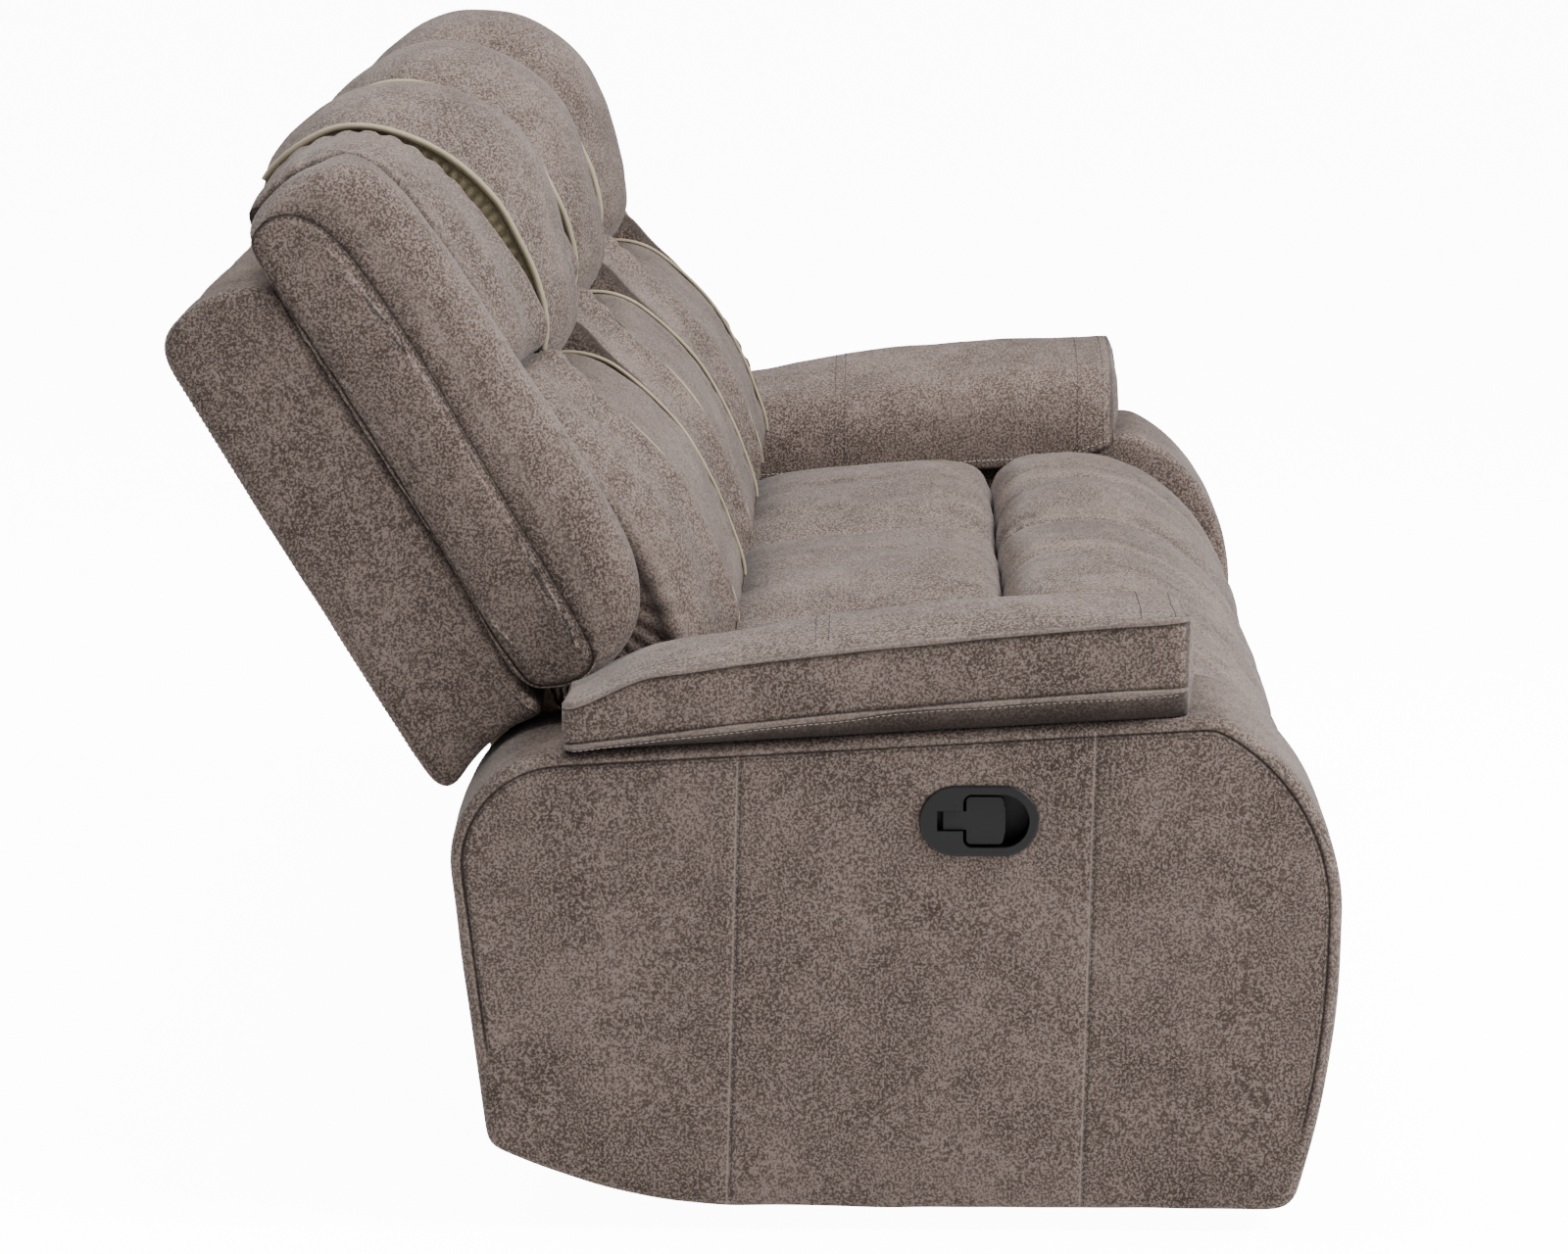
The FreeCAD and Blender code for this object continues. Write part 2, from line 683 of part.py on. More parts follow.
def bar(a, b, x0, x1, bore_a, bore_b):
    """A flat link between two side-view places, with round ends and two bores."""
    length = math.hypot(b[0] - a[0], b[1] - a[1])
    plate = stadium(length + link_width, link_width, x0, x1, length / 2, 0)
    plate = plate.cut([rod(bore_a, x0 - 1, x1 + 1, 0, 0), rod(bore_b, x0 - 1, x1 + 1, length, 0)])
    turn = math.degrees(math.atan2(b[1] - a[1], b[0] - a[0]))
    plate.rotate(V(0, 0, 0), V(1, 0, 0), turn)
    plate.translate(V(0, *a))
    return plate


closed_lower, closed_upper, knee = link_angles((foot_pivot_y, foot_pivot_z))
open_lower, open_upper, _ = link_angles((foot_open_y, foot_open_z))
lower_travel = math.degrees(open_lower - closed_lower)
upper_travel = math.degrees(open_upper - closed_upper)


def lower_links(x):
    """Both lower links of a footrest on their torque tube, with the knee pins."""
    xa = bracket_x
    shapes = []
    tube = rod(torque_tube_r, x - plate_x, x + plate_x, link_pivot_y, link_pivot_z)
    shapes.append(tube)
    for s in (-1, 1):
        x0, x1 = sorted((x + s * xa, x + s * (xa - link_thickness)))
        shapes.append(bar((link_pivot_y, link_pivot_z), knee, x0, x1, torque_tube_r - 1, link_pin_r - 1))
        far = xa - 2 * link_thickness - link_gap - 0.5
        p0, p1 = sorted((x + s * xa, x + s * far))
        shapes.append(rod(link_pin_r, p0, p1, *knee))
        h0, h1 = sorted((x + s * far, x + s * (far - 3)))
        shapes.append(rod(link_pin_r + 4, h0, h1, *knee))
    bore = rod(torque_tube_r - torque_tube_wall, x - plate_x - 1, x + plate_x + 1, link_pivot_y, link_pivot_z)
    return fused(shapes).cut(bore)


def upper_links(x):
    """Both upper links of a footrest, with the pins that carry the footrest brackets."""
    xa = bracket_x - link_thickness - link_gap
    shapes = []
    for s in (-1, 1):
        x0, x1 = sorted((x + s * xa, x + s * (xa - link_thickness)))
        link = bar(knee, (foot_pivot_y, foot_pivot_z), x0, x1, link_pin_r + pin_clearance, link_pin_r - 1)
        far = xa - 2 * link_thickness - link_gap - 0.5
        p0, p1 = sorted((x + s * xa, x + s * far))
        pin = rod(link_pin_r, p0, p1, foot_pivot_y, foot_pivot_z)
        h0, h1 = sorted((x + s * far, x + s * (far - 3)))
        head = rod(link_pin_r + 4, h0, h1, foot_pivot_y, foot_pivot_z)
        shapes.append(fused([link, pin, head]))
    return group(shapes)


def footrest_boards(x):
    """Footrest board with two bracket ears that hang on the upper links' pins."""
    rear = foot_pivot_y - link_width / 2 - 3
    half = footrest_board_width / 2
    y0 = rear - footrest_board
    plank = box(x - half, x + half, y0, rear, footrest_bottom_z + 12, footrest_top_z - 28)
    xa = bracket_x - 2 * (link_thickness + link_gap)
    shapes = [plank]
    for s in (-1, 1):
        x0, x1 = sorted((x + s * xa, x + s * (xa - link_thickness)))
        wire = outline(
            (rear, foot_pivot_z - 22),
            ((foot_pivot_y, foot_pivot_z - 14),),
            ((foot_pivot_y + 14, foot_pivot_z), (foot_pivot_y, foot_pivot_z + 14)),
            ((rear, foot_pivot_z + 60),),
        )
        ear = slab(wire, x0, x1)
        f0, f1 = sorted((x + s * (xa - link_thickness), x + s * (xa - 34)))
        foot = box(f0, f1, rear, rear + 3, foot_pivot_z - 22, foot_pivot_z + 60)
        bore = rod(link_pin_r + pin_clearance, x0 - 1, x1 + 1, foot_pivot_y, foot_pivot_z)
        shapes.append(fused([ear, foot]).cut(bore))
    return group(shapes)


def footrest_pad(x):
    rear = foot_pivot_y - link_width / 2 - 3 - footrest_board - soft_gap
    return footrest_shape(x, seat_half - footrest_side_gap, rear)


def front_panel():
    """Fixed front of the middle seat, the same form as a closed footrest, on its own seat box."""
    return footrest_shape(0.0, seat_half - footrest_side_gap, seat_box_front_y - soft_gap)


def base_rail(y):
    z0 = rail_bottom_z
    return box(-arm_inner_x, arm_inner_x, y - rail_width / 2, y + rail_width / 2, z0, z0 + rail_height)


def centre_box():
    """Box of the middle seat: its side boards go down to the base rails and carry the front panel."""
    shapes = []
    inner = seat_half - board
    z_low = rail_bottom_z + rail_height
    for s in (-1, 1):
        x0, x1 = sorted((s * seat_half, s * inner))
        wire = outline(
            (seat_box_front_y, footrest_bottom_z + 15),
            ((seat_box_front_y, deck_z),),
            ((seat_box_rear_y, deck_z),),
            ((rear_rail_y + 18, deck_z - 90),),
            ((rear_rail_y + 18, z_low),),
            ((front_rail_y - 20, z_low),),
            ((front_rail_y - 180, z_low),),
            ((seat_box_front_y + 50, footrest_bottom_z + 15),),
        )
        shapes.append(slab(wire, x0, x1))
    z0 = deck_z - seat_box_height
    shapes.append(box(-inner, inner, seat_box_front_y, seat_box_front_y + board, z0, deck_z))
    reach = inner - plate_thickness
    shapes.append(box(-reach, reach, seat_box_rear_y - board, seat_box_rear_y, z0, deck_z))
    return group(shapes)


def centre_pins():
    """Fixed brackets of the middle back on its seat box."""
    shapes = []
    for s in (-1, 1):
        xo = seat_half - board
        x0, x1 = sorted((s * xo, s * (xo - plate_thickness)))
        wire = outline(
            (seat_box_rear_y - 40, deck_z - 60),
            ((seat_box_rear_y - 40, deck_z - 10),),
            (on_back(30, pivot_depth + 16),),
            (on_back(bracket_reach, pivot_depth + 16),),
            (on_back(bracket_reach, pivot_depth - 16),),
            (on_back(0, pivot_depth - 20),),
            ((seat_box_rear_y + 20, deck_z - 60),),
        )
        shapes.append(slab(wire, x0, x1))
    return group(shapes)


def legs():
    """Timber legs under the base rails, with glides under them and under the arms."""
    shapes = []
    half = leg_size / 2
    for x in (-seat_pitch / 2, seat_pitch / 2):
        for y in (front_rail_y, rear_rail_y):
            shapes.append(box(x - half, x + half, y - half, y + half, glide_height / 2, rail_bottom_z))
    return group(shapes)


def glides():
    shapes = []
    arm_mid = half_width - arm_box_width / 2
    for x in (-arm_mid, arm_mid):
        for y in (arm_front_y + glide_inset + 20, arm_heel_y - glide_inset - 20):
            shapes.append(Part.makeCone(glide_r - 3, glide_r, glide_height, V(x, y, 0)))
    for x in (-seat_pitch / 2, seat_pitch / 2):
        for y in (front_rail_y, rear_rail_y):
            shapes.append(Part.makeCone(glide_r - 3, glide_r, glide_height / 2, V(x, y, 0)))
    return group(shapes)


def rear_panel():
    """Fabric-covered board that closes the base behind the seats, on battens against the rear rail."""
    t = rear_panel_thickness
    top_y, top_z = on_circle(arm_rear_radius, 0)
    foot = (arm_rear_foot_y, arm_rear_foot_z)
    wire = outline(foot, ((top_y, top_z),), ((top_y - t, top_z),), ((foot[0] - t, foot[1]),))
    edge = arm_inner_x
    shapes = [slab(wire, -edge, edge)]
    rear_face = rear_rail_y + rail_width / 2
    z0, z1 = rail_bottom_z + 20, rail_bottom_z + rail_height
    slope = (top_y - foot[0]) / (top_z - foot[1])

    def inner_y(z):
        return foot[0] - t + slope * (z - foot[1])

    batten = outline((rear_face, z0), ((rear_face, z1),), ((inner_y(z1), z1),), ((inner_y(z0), z0),))
    for i in range(batten_count):
        x = (i - (batten_count - 1) / 2) * batten_pitch
        shapes.append(slab(batten, x - 15, x + 15))
    return fused(shapes)


def lever_axis(z):
    """A point on the right-hand lever's hinge line."""
    return V(-half_width + 1 + lever_thickness / 2, lever_pivot_y, z)


def right_handle_bezel():
    """Moulded cup with a flange: a round finger hollow in front and a slot for the lever's stem behind."""
    x_face = -half_width
    rim = stadium(handle_length, handle_height, x_face - flange_proud, x_face, handle_y, handle_z)
    outer_edges = [e for e in rim.Edges if e.BoundBox.XMax < x_face - flange_proud + 0.01]
    rim = rim.makeFillet(1.8, outer_edges)
    gap = 2 * flange + 1
    cup = stadium(handle_length - gap, handle_height - gap, x_face, x_face + cup_depth, handle_y, handle_z)
    floor_x = x_face + cup_depth - cup_wall
    rear = lever_head_y + 3
    finger = rod(finger_r, x_face - flange_proud - 1, floor_x, finger_y, handle_z)
    pocket = box(x_face - flange_proud - 1, floor_x, finger_y, rear, handle_z - finger_r, handle_z + finger_r)
    corners = [e for e in pocket.Edges if e.BoundBox.YMin > rear - 0.01 and e.BoundBox.ZLength < 0.01]
    pocket = pocket.makeFillet(pocket_corner, corners)
    stem = box(x_face - flange_proud - 1, x_face + 16, lever_head_y - 12, lever_pivot_y + 7,
               handle_z - lever_stem_height / 2 - 1, handle_z + lever_stem_height / 2 + 1)
    bore = Part.makeCylinder(lever_pin_r + pin_clearance, lever_pin_length + 1,
                             lever_axis(handle_z - lever_pin_length / 2 - 0.5))
    return fused([rim, cup]).cut([finger, pocket, stem, bore])


def right_handle_lever():
    """T-shaped pull lever on a vertical pin at the stem's rear end."""
    x0 = -half_width + 1.0
    x1 = x0 + lever_thickness
    h = lever_stem_height / 2
    stem = box(x0, x1, lever_head_y - 2, lever_pivot_y, handle_z - h, handle_z + h)
    boss = Part.makeCylinder(lever_thickness / 2, 2 * h, lever_axis(handle_z - h))
    pin = Part.makeCylinder(lever_pin_r, lever_pin_length, lever_axis(handle_z - lever_pin_length / 2))
    half = lever_head_height / 2
    side_y = lever_head_front_y + lever_head_bulge
    head = slab(outline(
        (lever_head_y, handle_z - half),
        ((lever_head_y, handle_z + half),),
        ((side_y, handle_z + half),),
        ((lever_head_front_y, handle_z), (side_y, handle_z - half)),
    ), x0, x1)
    edges = [e for e in head.Edges if abs(e.BoundBox.XLength - lever_thickness) < 0.01
             and e.BoundBox.YLength < 0.01]
    head = head.makeFillet(4, edges)
    lip = box(x1, x1 + 6, lever_head_front_y, lever_head_front_y + 3, handle_z - 12, handle_z + 12)
    return fused([stem, boss, pin, head, lip])


def right_cable():
    """Release cable from the handle's cup through the arm to the mechanism plate, in its own sheath."""
    y = handle_y
    start = V(-half_width + cup_depth + soft_gap, y, handle_z - 5)
    route = [start, start + V(78, 0, 0), V(-half_width + 156, y, cable_drop_z),
             V(-seat_pitch - plate_x - soft_gap, y, cable_drop_z)]
    edges = []
    here = route[0]
    for before, corner, after in zip(route, route[1:], route[2:]):
        a, b = (before - corner), (after - corner)
        turn = math.pi - a.getAngle(b)
        radius = 0.45 * min(a.Length, b.Length) / math.tan(turn / 2)
        cut = radius * math.tan(turn / 2)
        p, q = corner + a.normalize() * cut, corner + b.normalize() * cut
        middle_dir = (p + q) * 0.5 - corner
        arc_mid = corner + middle_dir.normalize() * (radius / math.cos(turn / 2) - radius)
        edges.append(Part.makeLine(here, p))
        edges.append(Part.Arc(p, arc_mid, q).toShape())
        here = q
        print("cable bend radius", round(radius, 1))
    edges.append(Part.makeLine(here, route[-1]))
    path = Part.Wire(edges)
    section = Part.Wire([Part.makeCircle(cable_r, start, V(1, 0, 0))])
    tube = path.makePipeShell([section], True, False)
    print("cable volume ratio", round(tube.Volume / (path.Length * math.pi * cable_r ** 2), 4))
    return tube


def back_parts(name, x, x0, x1, half):
    save("back_shell_" + name, back_shell(x0, x1, x - seat_half + shell_wall, x + seat_half - shell_wall))
    save("back_frame_" + name, back_frame(x, x0, x1, half))
    save("head_pad_" + name, head_centre(x))
    save("head_sides_" + name, group([head_side(x, -1), head_side(x, 1)]))
    save("lumbar_pad_" + name, lumbar_centre(x))
    save("lumbar_sides_" + name, group([lumbar_side(x, -1), lumbar_side(x, 1)]))


def seat_parts(name, x):
    save("seat_cushion_" + name, seat_cushion(x))
    save("front_roll_" + name, front_roll(x))


def both(name, shape):
    """Saves a right-hand piece and its mirror image."""
    save(name + "_right", shape)
    save(name + "_left", mirrored(shape))


def build():
    both("arm_cover", right_arm_cover())
    both("arm_frame", right_arm_frame())
    both("arm_pad", right_arm_pad())
    both("wing", right_wing())
    both("handle_bezel", right_handle_bezel())
    both("handle_lever", right_handle_lever())
    both("release_cable", right_cable())
    save("base_rails", group([base_rail(front_rail_y), base_rail(rear_rail_y)]))
    save("legs", legs())
    save("glides", glides())
    save("rear_panel", rear_panel())
    save("front_panel", front_panel())
    save("seat_springs", seat_springs())
    end = -seat_pitch
    both("seat_box", seat_box(end))
    save("seat_box_centre", centre_box())
    both("mechanism_plates", mechanism_plates(end))
    both("back_brackets", back_brackets(end))
    save("back_brackets_centre", centre_pins())
    both("lower_links", lower_links(end))
    both("upper_links", upper_links(end))
    both("footrest_board", footrest_boards(end))
    both("footrest_pad", footrest_pad(end))
    reach = half_seats + wing_reach
    beside = bracket_x - plate_thickness
    back_parts("right", end, -reach, end + seat_half, beside)
    back_parts("centre", 0.0, -seat_half, seat_half, plate_x - plate_thickness)
    back_parts("left", -end, -end - seat_half, reach, beside)
    for name, x in (("right", end), ("centre", 0.0), ("left", -end)):
        seat_parts(name, x)
    print("lower link travel", lower_travel, "upper link travel", upper_travel)
    print("upper ratio", (upper_travel - lower_travel) / lower_travel)
    print("footrest ratio", (90 - upper_travel) / lower_travel)
    print("knee", knee)


build()
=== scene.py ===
import json
import math

import bpy
import numpy as np
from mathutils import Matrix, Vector
from mathutils.bvhtree import BVHTree


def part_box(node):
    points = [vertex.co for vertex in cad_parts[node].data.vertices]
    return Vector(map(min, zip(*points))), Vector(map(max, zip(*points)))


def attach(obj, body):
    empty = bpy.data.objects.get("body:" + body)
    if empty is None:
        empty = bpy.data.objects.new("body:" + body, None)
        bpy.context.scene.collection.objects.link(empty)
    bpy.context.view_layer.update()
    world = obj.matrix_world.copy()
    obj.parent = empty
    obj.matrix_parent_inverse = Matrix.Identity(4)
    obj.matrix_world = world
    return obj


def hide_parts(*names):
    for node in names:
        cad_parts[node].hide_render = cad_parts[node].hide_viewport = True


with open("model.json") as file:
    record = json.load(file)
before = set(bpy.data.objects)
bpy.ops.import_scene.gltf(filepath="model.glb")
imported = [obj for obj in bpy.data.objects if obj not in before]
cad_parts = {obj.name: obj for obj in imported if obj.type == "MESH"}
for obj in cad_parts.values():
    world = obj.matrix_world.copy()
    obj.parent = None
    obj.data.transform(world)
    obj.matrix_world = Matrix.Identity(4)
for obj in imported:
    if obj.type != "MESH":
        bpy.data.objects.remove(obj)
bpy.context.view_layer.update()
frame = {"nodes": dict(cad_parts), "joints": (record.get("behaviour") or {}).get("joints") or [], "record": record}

# Looks of a three-seat reclining sofa. Outlines are in millimetres in the side view (Y, Z) or, on a back, as
# (u, n): u up the back from the recline pivot and n forward of the back's rear face. Meshes are in metres.

joints = {j["name"]: j for j in frame["joints"]}
MM = 0.001
RIGHT, LEFT = -1, 1
SEATS = {"right": RIGHT, "centre": 0, "left": LEFT}

back_angle = math.radians(31.9)
pivot = np.array(joints["recline_right"]["pos_m"][1:]) / MM
pivot_depth = 84.0
seat_pitch = abs(joints["recline_right"]["pos_m"][0]) / MM
half_seats = 1.5 * seat_pitch
half_width = -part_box("arm_cover_right")[0].x / MM
arm_inner = -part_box("arm_cover_right")[1].x / MM
panel_half = 140.0          # centre panels of a back
seat_half = seat_pitch / 2 - 1
pad_base = 127.0            # where the back pads start, forward of the rear face
thread_pitch = 5.6
thread_length = 3.7
thread_r = 0.55
thread_sides = 5
spindle = ((-0.5, 0.25), (-0.32, 1.0), (0.32, 1.0), (0.5, 0.25))    # rings of a thread: place, radius


# Geometry helpers

def on_back(un):
    """Side-view places (Y, Z) of points (u, n) on a back."""
    un = np.asarray(un, float)
    u, f = un[..., 0], un[..., 1] - pivot_depth
    y = pivot[0] + u * math.sin(back_angle) - f * math.cos(back_angle)
    z = pivot[1] + u * math.cos(back_angle) + f * math.sin(back_angle)
    return np.stack([y, z], -1)


def spline(points, count, closed=True):
    """Centripetal Catmull-Rom curve through the points, sampled at even steps of its length."""
    p = np.asarray(points, float)
    if closed:
        q = np.concatenate([p[-1:], p, p[:2]])
    else:
        q = np.concatenate([2 * p[:1] - p[1:2], p, 2 * p[-1:] - p[-2:-1]])
    a, b, c, d = (q[i:len(q) - 3 + i] for i in range(4))
    pairs = ((a, b), (b, c), (c, d))
    step = [np.sqrt(np.linalg.norm(y - x, axis=-1))[:, None, None] + 1e-9 for x, y in pairs]
    t0 = np.zeros_like(step[0])
    t1 = t0 + step[0]
    t2 = t1 + step[1]
    t3 = t2 + step[2]
    t = t1 + (t2 - t1) * np.linspace(0, 1, 24, endpoint=False)[None, :, None]
    a, b, c, d = (x[:, None, :] for x in (a, b, c, d))
    a1 = (t1 - t) / (t1 - t0) * a + (t - t0) / (t1 - t0) * b
    a2 = (t2 - t) / (t2 - t1) * b + (t - t1) / (t2 - t1) * c
    a3 = (t3 - t) / (t3 - t2) * c + (t - t2) / (t3 - t2) * d
    b1 = (t2 - t) / (t2 - t0) * a1 + (t - t0) / (t2 - t0) * a2
    b2 = (t3 - t) / (t3 - t1) * a2 + (t - t1) / (t3 - t1) * a3
    curve = ((t2 - t) / (t2 - t1) * b1 + (t - t1) / (t2 - t1) * b2).reshape(-1, p.shape[-1])
    curve = np.concatenate([curve, p[:1] if closed else p[-1:]])
    return even(curve, count, closed)


def even(curve, count, closed):
    """The same polyline with count points at even steps of its length."""
    run = run_of(curve)
    return along(curve, run, np.linspace(0, run[-1], count, endpoint=not closed))


def run_of(path):
    """The length of a polyline up to each of its points."""
    return np.concatenate([[0], np.cumsum(np.linalg.norm(np.diff(path, axis=0), axis=1))])


def along(values, run, at):
    """Rows of values read at given lengths along a line."""
    return np.stack([np.interp(at, run, values[:, k]) for k in range(values.shape[1])], -1)


def arc(a, m, b, count=24):
    """Points from a to b on the circle through a, m and b."""
    a, m, b = (np.asarray(q, float) for q in (a, m, b))
    rows = 2 * np.stack([m - a, b - a])
    centre = np.linalg.solve(rows, np.array([m @ m - a @ a, b @ b - a @ a]))
    turns = [math.atan2(*(q - centre)[::-1]) for q in (a, m, b)]
    total = (turns[2] - turns[0]) % (2 * math.pi)
    if (turns[1] - turns[0]) % (2 * math.pi) > total:
        total -= 2 * math.pi
    t = turns[0] + total * np.linspace(0, 1, count)
    return centre + np.linalg.norm(a - centre) * np.stack([np.cos(t), np.sin(t)], -1)


def softened(loop, passes):
    """A closed loop with its corners rounded by averaging neighbours."""
    for _ in range(passes):
        loop = 0.5 * loop + 0.25 * (np.roll(loop, 1, 0) + np.roll(loop, -1, 0))
    return loop


def inset(loop, depth):
    """A closed plane loop moved inwards along its normals; depth is one value or one per point."""
    ahead = np.roll(loop, -1, 0) - np.roll(loop, 1, 0)
    normal = np.stack([-ahead[:, 1], ahead[:, 0]], -1)
    normal /= np.linalg.norm(normal, axis=1, keepdims=True) + 1e-9
    area = np.sum(loop[:, 0] * np.roll(loop[:, 1], -1) - np.roll(loop[:, 0], -1) * loop[:, 1])
    return loop + normal * np.sign(area) * np.reshape(depth, (-1, 1))


def smooth_step(t):
    t = np.clip(t, 0, 1)
    return t * t * (3 - 2 * t)


def waves(p, size, seed):
    """A smooth field between about -1 and 1: a sum of sines of place, with wavelengths near size."""
    rng = np.random.default_rng(seed)
    total = np.zeros(p.shape[:-1])
    for _ in range(7):
        k = rng.normal(size=3)
        k *= 2 * math.pi / (size * rng.uniform(0.7, 1.6)) / np.linalg.norm(k)
        total += np.sin(p @ k + rng.uniform(0, 6.28))
    return total / 3.5


def normals_of(grid):
    """Unit normals of a closed stack of loops, (loops, points, 3)."""
    du = np.gradient(grid, axis=0)
    dv = np.roll(grid, -1, 1) - np.roll(grid, 1, 1)
    n = np.cross(du, dv)
    n /= np.linalg.norm(n, axis=-1, keepdims=True) + 1e-12
    outward = np.sum(n * (grid - grid.mean(axis=1, keepdims=True)))
    return n if outward > 0 else -n


def make_mesh(name, verts, quads, tris=()):
    """A mesh object from vertex and face arrays in millimetres."""
    mesh = bpy.data.meshes.new(name)
    quads, tris = np.asarray(quads, int), np.asarray(tris, int).reshape(-1, 3)
    every = np.concatenate([quads.ravel(), tris.ravel()])
    sizes = np.concatenate([np.full(len(quads), 4), np.full(len(tris), 3)])
    mesh.vertices.add(len(verts))
    mesh.vertices.foreach_set("co", (np.asarray(verts) * MM).astype(np.float32).ravel())
    mesh.loops.add(len(every))
    mesh.loops.foreach_set("vertex_index", every.astype(np.int32))
    mesh.polygons.add(len(sizes))
    mesh.polygons.foreach_set("loop_start", (np.cumsum(sizes) - sizes).astype(np.int32))
    mesh.polygons.foreach_set("loop_total", sizes.astype(np.int32))
    mesh.polygons.foreach_set("use_smooth", np.full(len(sizes), True))
    mesh.update(calc_edges=True)
    mesh.validate()
    obj = bpy.data.objects.new(name, mesh)
    bpy.context.scene.collection.objects.link(obj)
    return obj


def ring_quads(count, sides):
    """Four-sided faces between rings of points, numbered ring by ring."""
    i, j = np.meshgrid(np.arange(count - 1), np.arange(sides), indexing="ij")
    near, far = i * sides, (i + 1) * sides
    nxt = (j + 1) % sides
    return np.stack([near + j, near + nxt, far + nxt, far + j], -1).reshape(-1, 4)


def skin(name, loops, attributes=None):
    """A closed surface over a stack of closed loops, (loops, points, 3), with a pole at each end."""
    k, m, _ = loops.shape
    verts = np.concatenate([loops.reshape(-1, 3), loops[:1].mean(1), loops[-1:].mean(1)])
    quads = ring_quads(k, m)
    j = np.arange(m)
    nxt = (j + 1) % m
    first = np.stack([np.full(m, k * m), nxt, j], -1)
    last = np.stack([np.full(m, k * m + 1), (k - 1) * m + j, (k - 1) * m + nxt], -1)
    corners = verts[quads]
    volume = np.sum(np.cross(corners[:, 0], corners[:, 1]) * corners[:, 2])
    volume += np.sum(np.cross(corners[:, 0], corners[:, 2]) * corners[:, 3])
    tris = np.concatenate([first, last])
    if volume < 0:
        quads, tris = quads[:, ::-1], tris[:, ::-1]
    obj = make_mesh(name, verts, quads, tris)
    for key, values in (attributes or {}).items():
        flat = np.concatenate([values.ravel(), values[0].mean(keepdims=True), values[-1].mean(keepdims=True)])
        a = obj.data.attributes.new(key, "FLOAT", "POINT")
        a.data.foreach_set("value", flat.astype(np.float32))
    return obj


def ends(loops, bulges, rings=7):
    """Adds rings that close both ends of a stack along X, shrinking to the loop's middle and bulging out."""
    made = []
    for loop, bulge, out in ((loops[0], bulges[0], -1), (loops[-1], bulges[1], 1)):
        middle = loop.mean(0)
        share = np.linspace(1, 0.04, rings + 1)[1:]
        ring = middle + (loop - middle) * share[:, None, None]
        ring[..., 0] = loop[:, 0].mean() + out * bulge * (1 - share[:, None] ** 2)
        made.append(ring)
    return np.concatenate([made[0][::-1], loops, made[1]])


def tube(name, path, radius, sides=8):
    """A round cord along a path: rings of points square to the path, closed at both ends."""
    path = np.asarray(path, float)
    t = np.gradient(path, axis=0)
    t /= np.linalg.norm(t, axis=1, keepdims=True)
    up = np.cross(t, [1.0, 0, 0])
    flat = np.linalg.norm(up, axis=1) < 1e-3
    up[flat] = [0, 0, 1]
    up /= np.linalg.norm(up, axis=1, keepdims=True)
    side = np.cross(t, up)
    a = np.linspace(0, 2 * math.pi, sides, endpoint=False)[None, :, None]
    rings = path[:, None] + radius * (np.cos(a) * up[:, None] + np.sin(a) * side[:, None])
    return skin(name, rings)


def mirrored(grid, side):
    """The grid as it is for side -1, and mirrored across the sofa's middle for side 1."""
    return grid * np.array([-side, 1, 1]) if side > 0 else grid


def on_surface(obj, path):
    """The nearest places and normals of an object's surface for the points of a path in millimetres."""
    points = [v.co[:] for v in obj.data.vertices]
    tree = BVHTree.FromPolygons(points, [p.vertices[:] for p in obj.data.polygons])
    hits = [tree.find_nearest(point) for point in (np.asarray(path) * MM).tolist()]
    return np.array([h[0][:] for h in hits]) / MM, np.array([h[1][:] for h in hits])


def sew(body, obj, path, **kind):
    """Stitches along the nearest line of an object's surface."""
    spots, normals = on_surface(obj, path)
    stitch(body, spots, normals, **kind)


threads = {}


def stitch(body, path, normal, pitch=thread_pitch, length=thread_length, radius=thread_r, kind="dark"):
    """Adds a row of stitches: short threads along the path, each half sunk in the cloth."""
    path = np.asarray(path, float)
    run = run_of(path)
    count = max(int(run[-1] / pitch), 1)
    at = (np.arange(count) + 0.5) * run[-1] / count
    mid = along(path, run, at)
    t = along(path, run, at + 0.5) - along(path, run, at - 0.5)
    t /= np.linalg.norm(t, axis=1, keepdims=True) + 1e-9
    normal = np.broadcast_to(np.asarray(normal, float), path.shape)
    n = along(normal, run, at)
    n -= t * np.sum(n * t, 1, keepdims=True)
    n /= np.linalg.norm(n, axis=1, keepdims=True) + 1e-9
    threads.setdefault((body, kind), []).append((mid, t, n, length, radius))


def flush_threads(materials):
    """Makes one mesh of threads for each body and kind, with a small five-sided spindle for each stitch."""
    one = ring_quads(len(spindle), thread_sides)
    for (body, kind), rows in threads.items():
        verts, quads = [], []
        base = 0
        for mid, t, n, length, radius in rows:
            b = np.cross(t, n)
            a = np.linspace(0, 2 * math.pi, thread_sides, endpoint=False)
            around = np.cos(a)[None, :, None] * n[:, None] + np.sin(a)[None, :, None] * b[:, None]
            start, way = mid[:, None], t[:, None]
            rings = [start + way * (place * length) + radius * r * around for place, r in spindle]
            cloud = np.stack(rings, 1)
            count = len(cloud)
            verts.append(cloud.reshape(-1, 3))
            size = len(spindle) * thread_sides
            quads.append((one[None] + (np.arange(count) * size)[:, None, None] + base).reshape(-1, 4))
            base += count * size
        obj = make_mesh("thread_%s_%s" % (kind, body), np.concatenate(verts), np.concatenate(quads)[:, ::-1])
        obj.data.materials.append(materials[kind])
        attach(obj, body)


# Materials

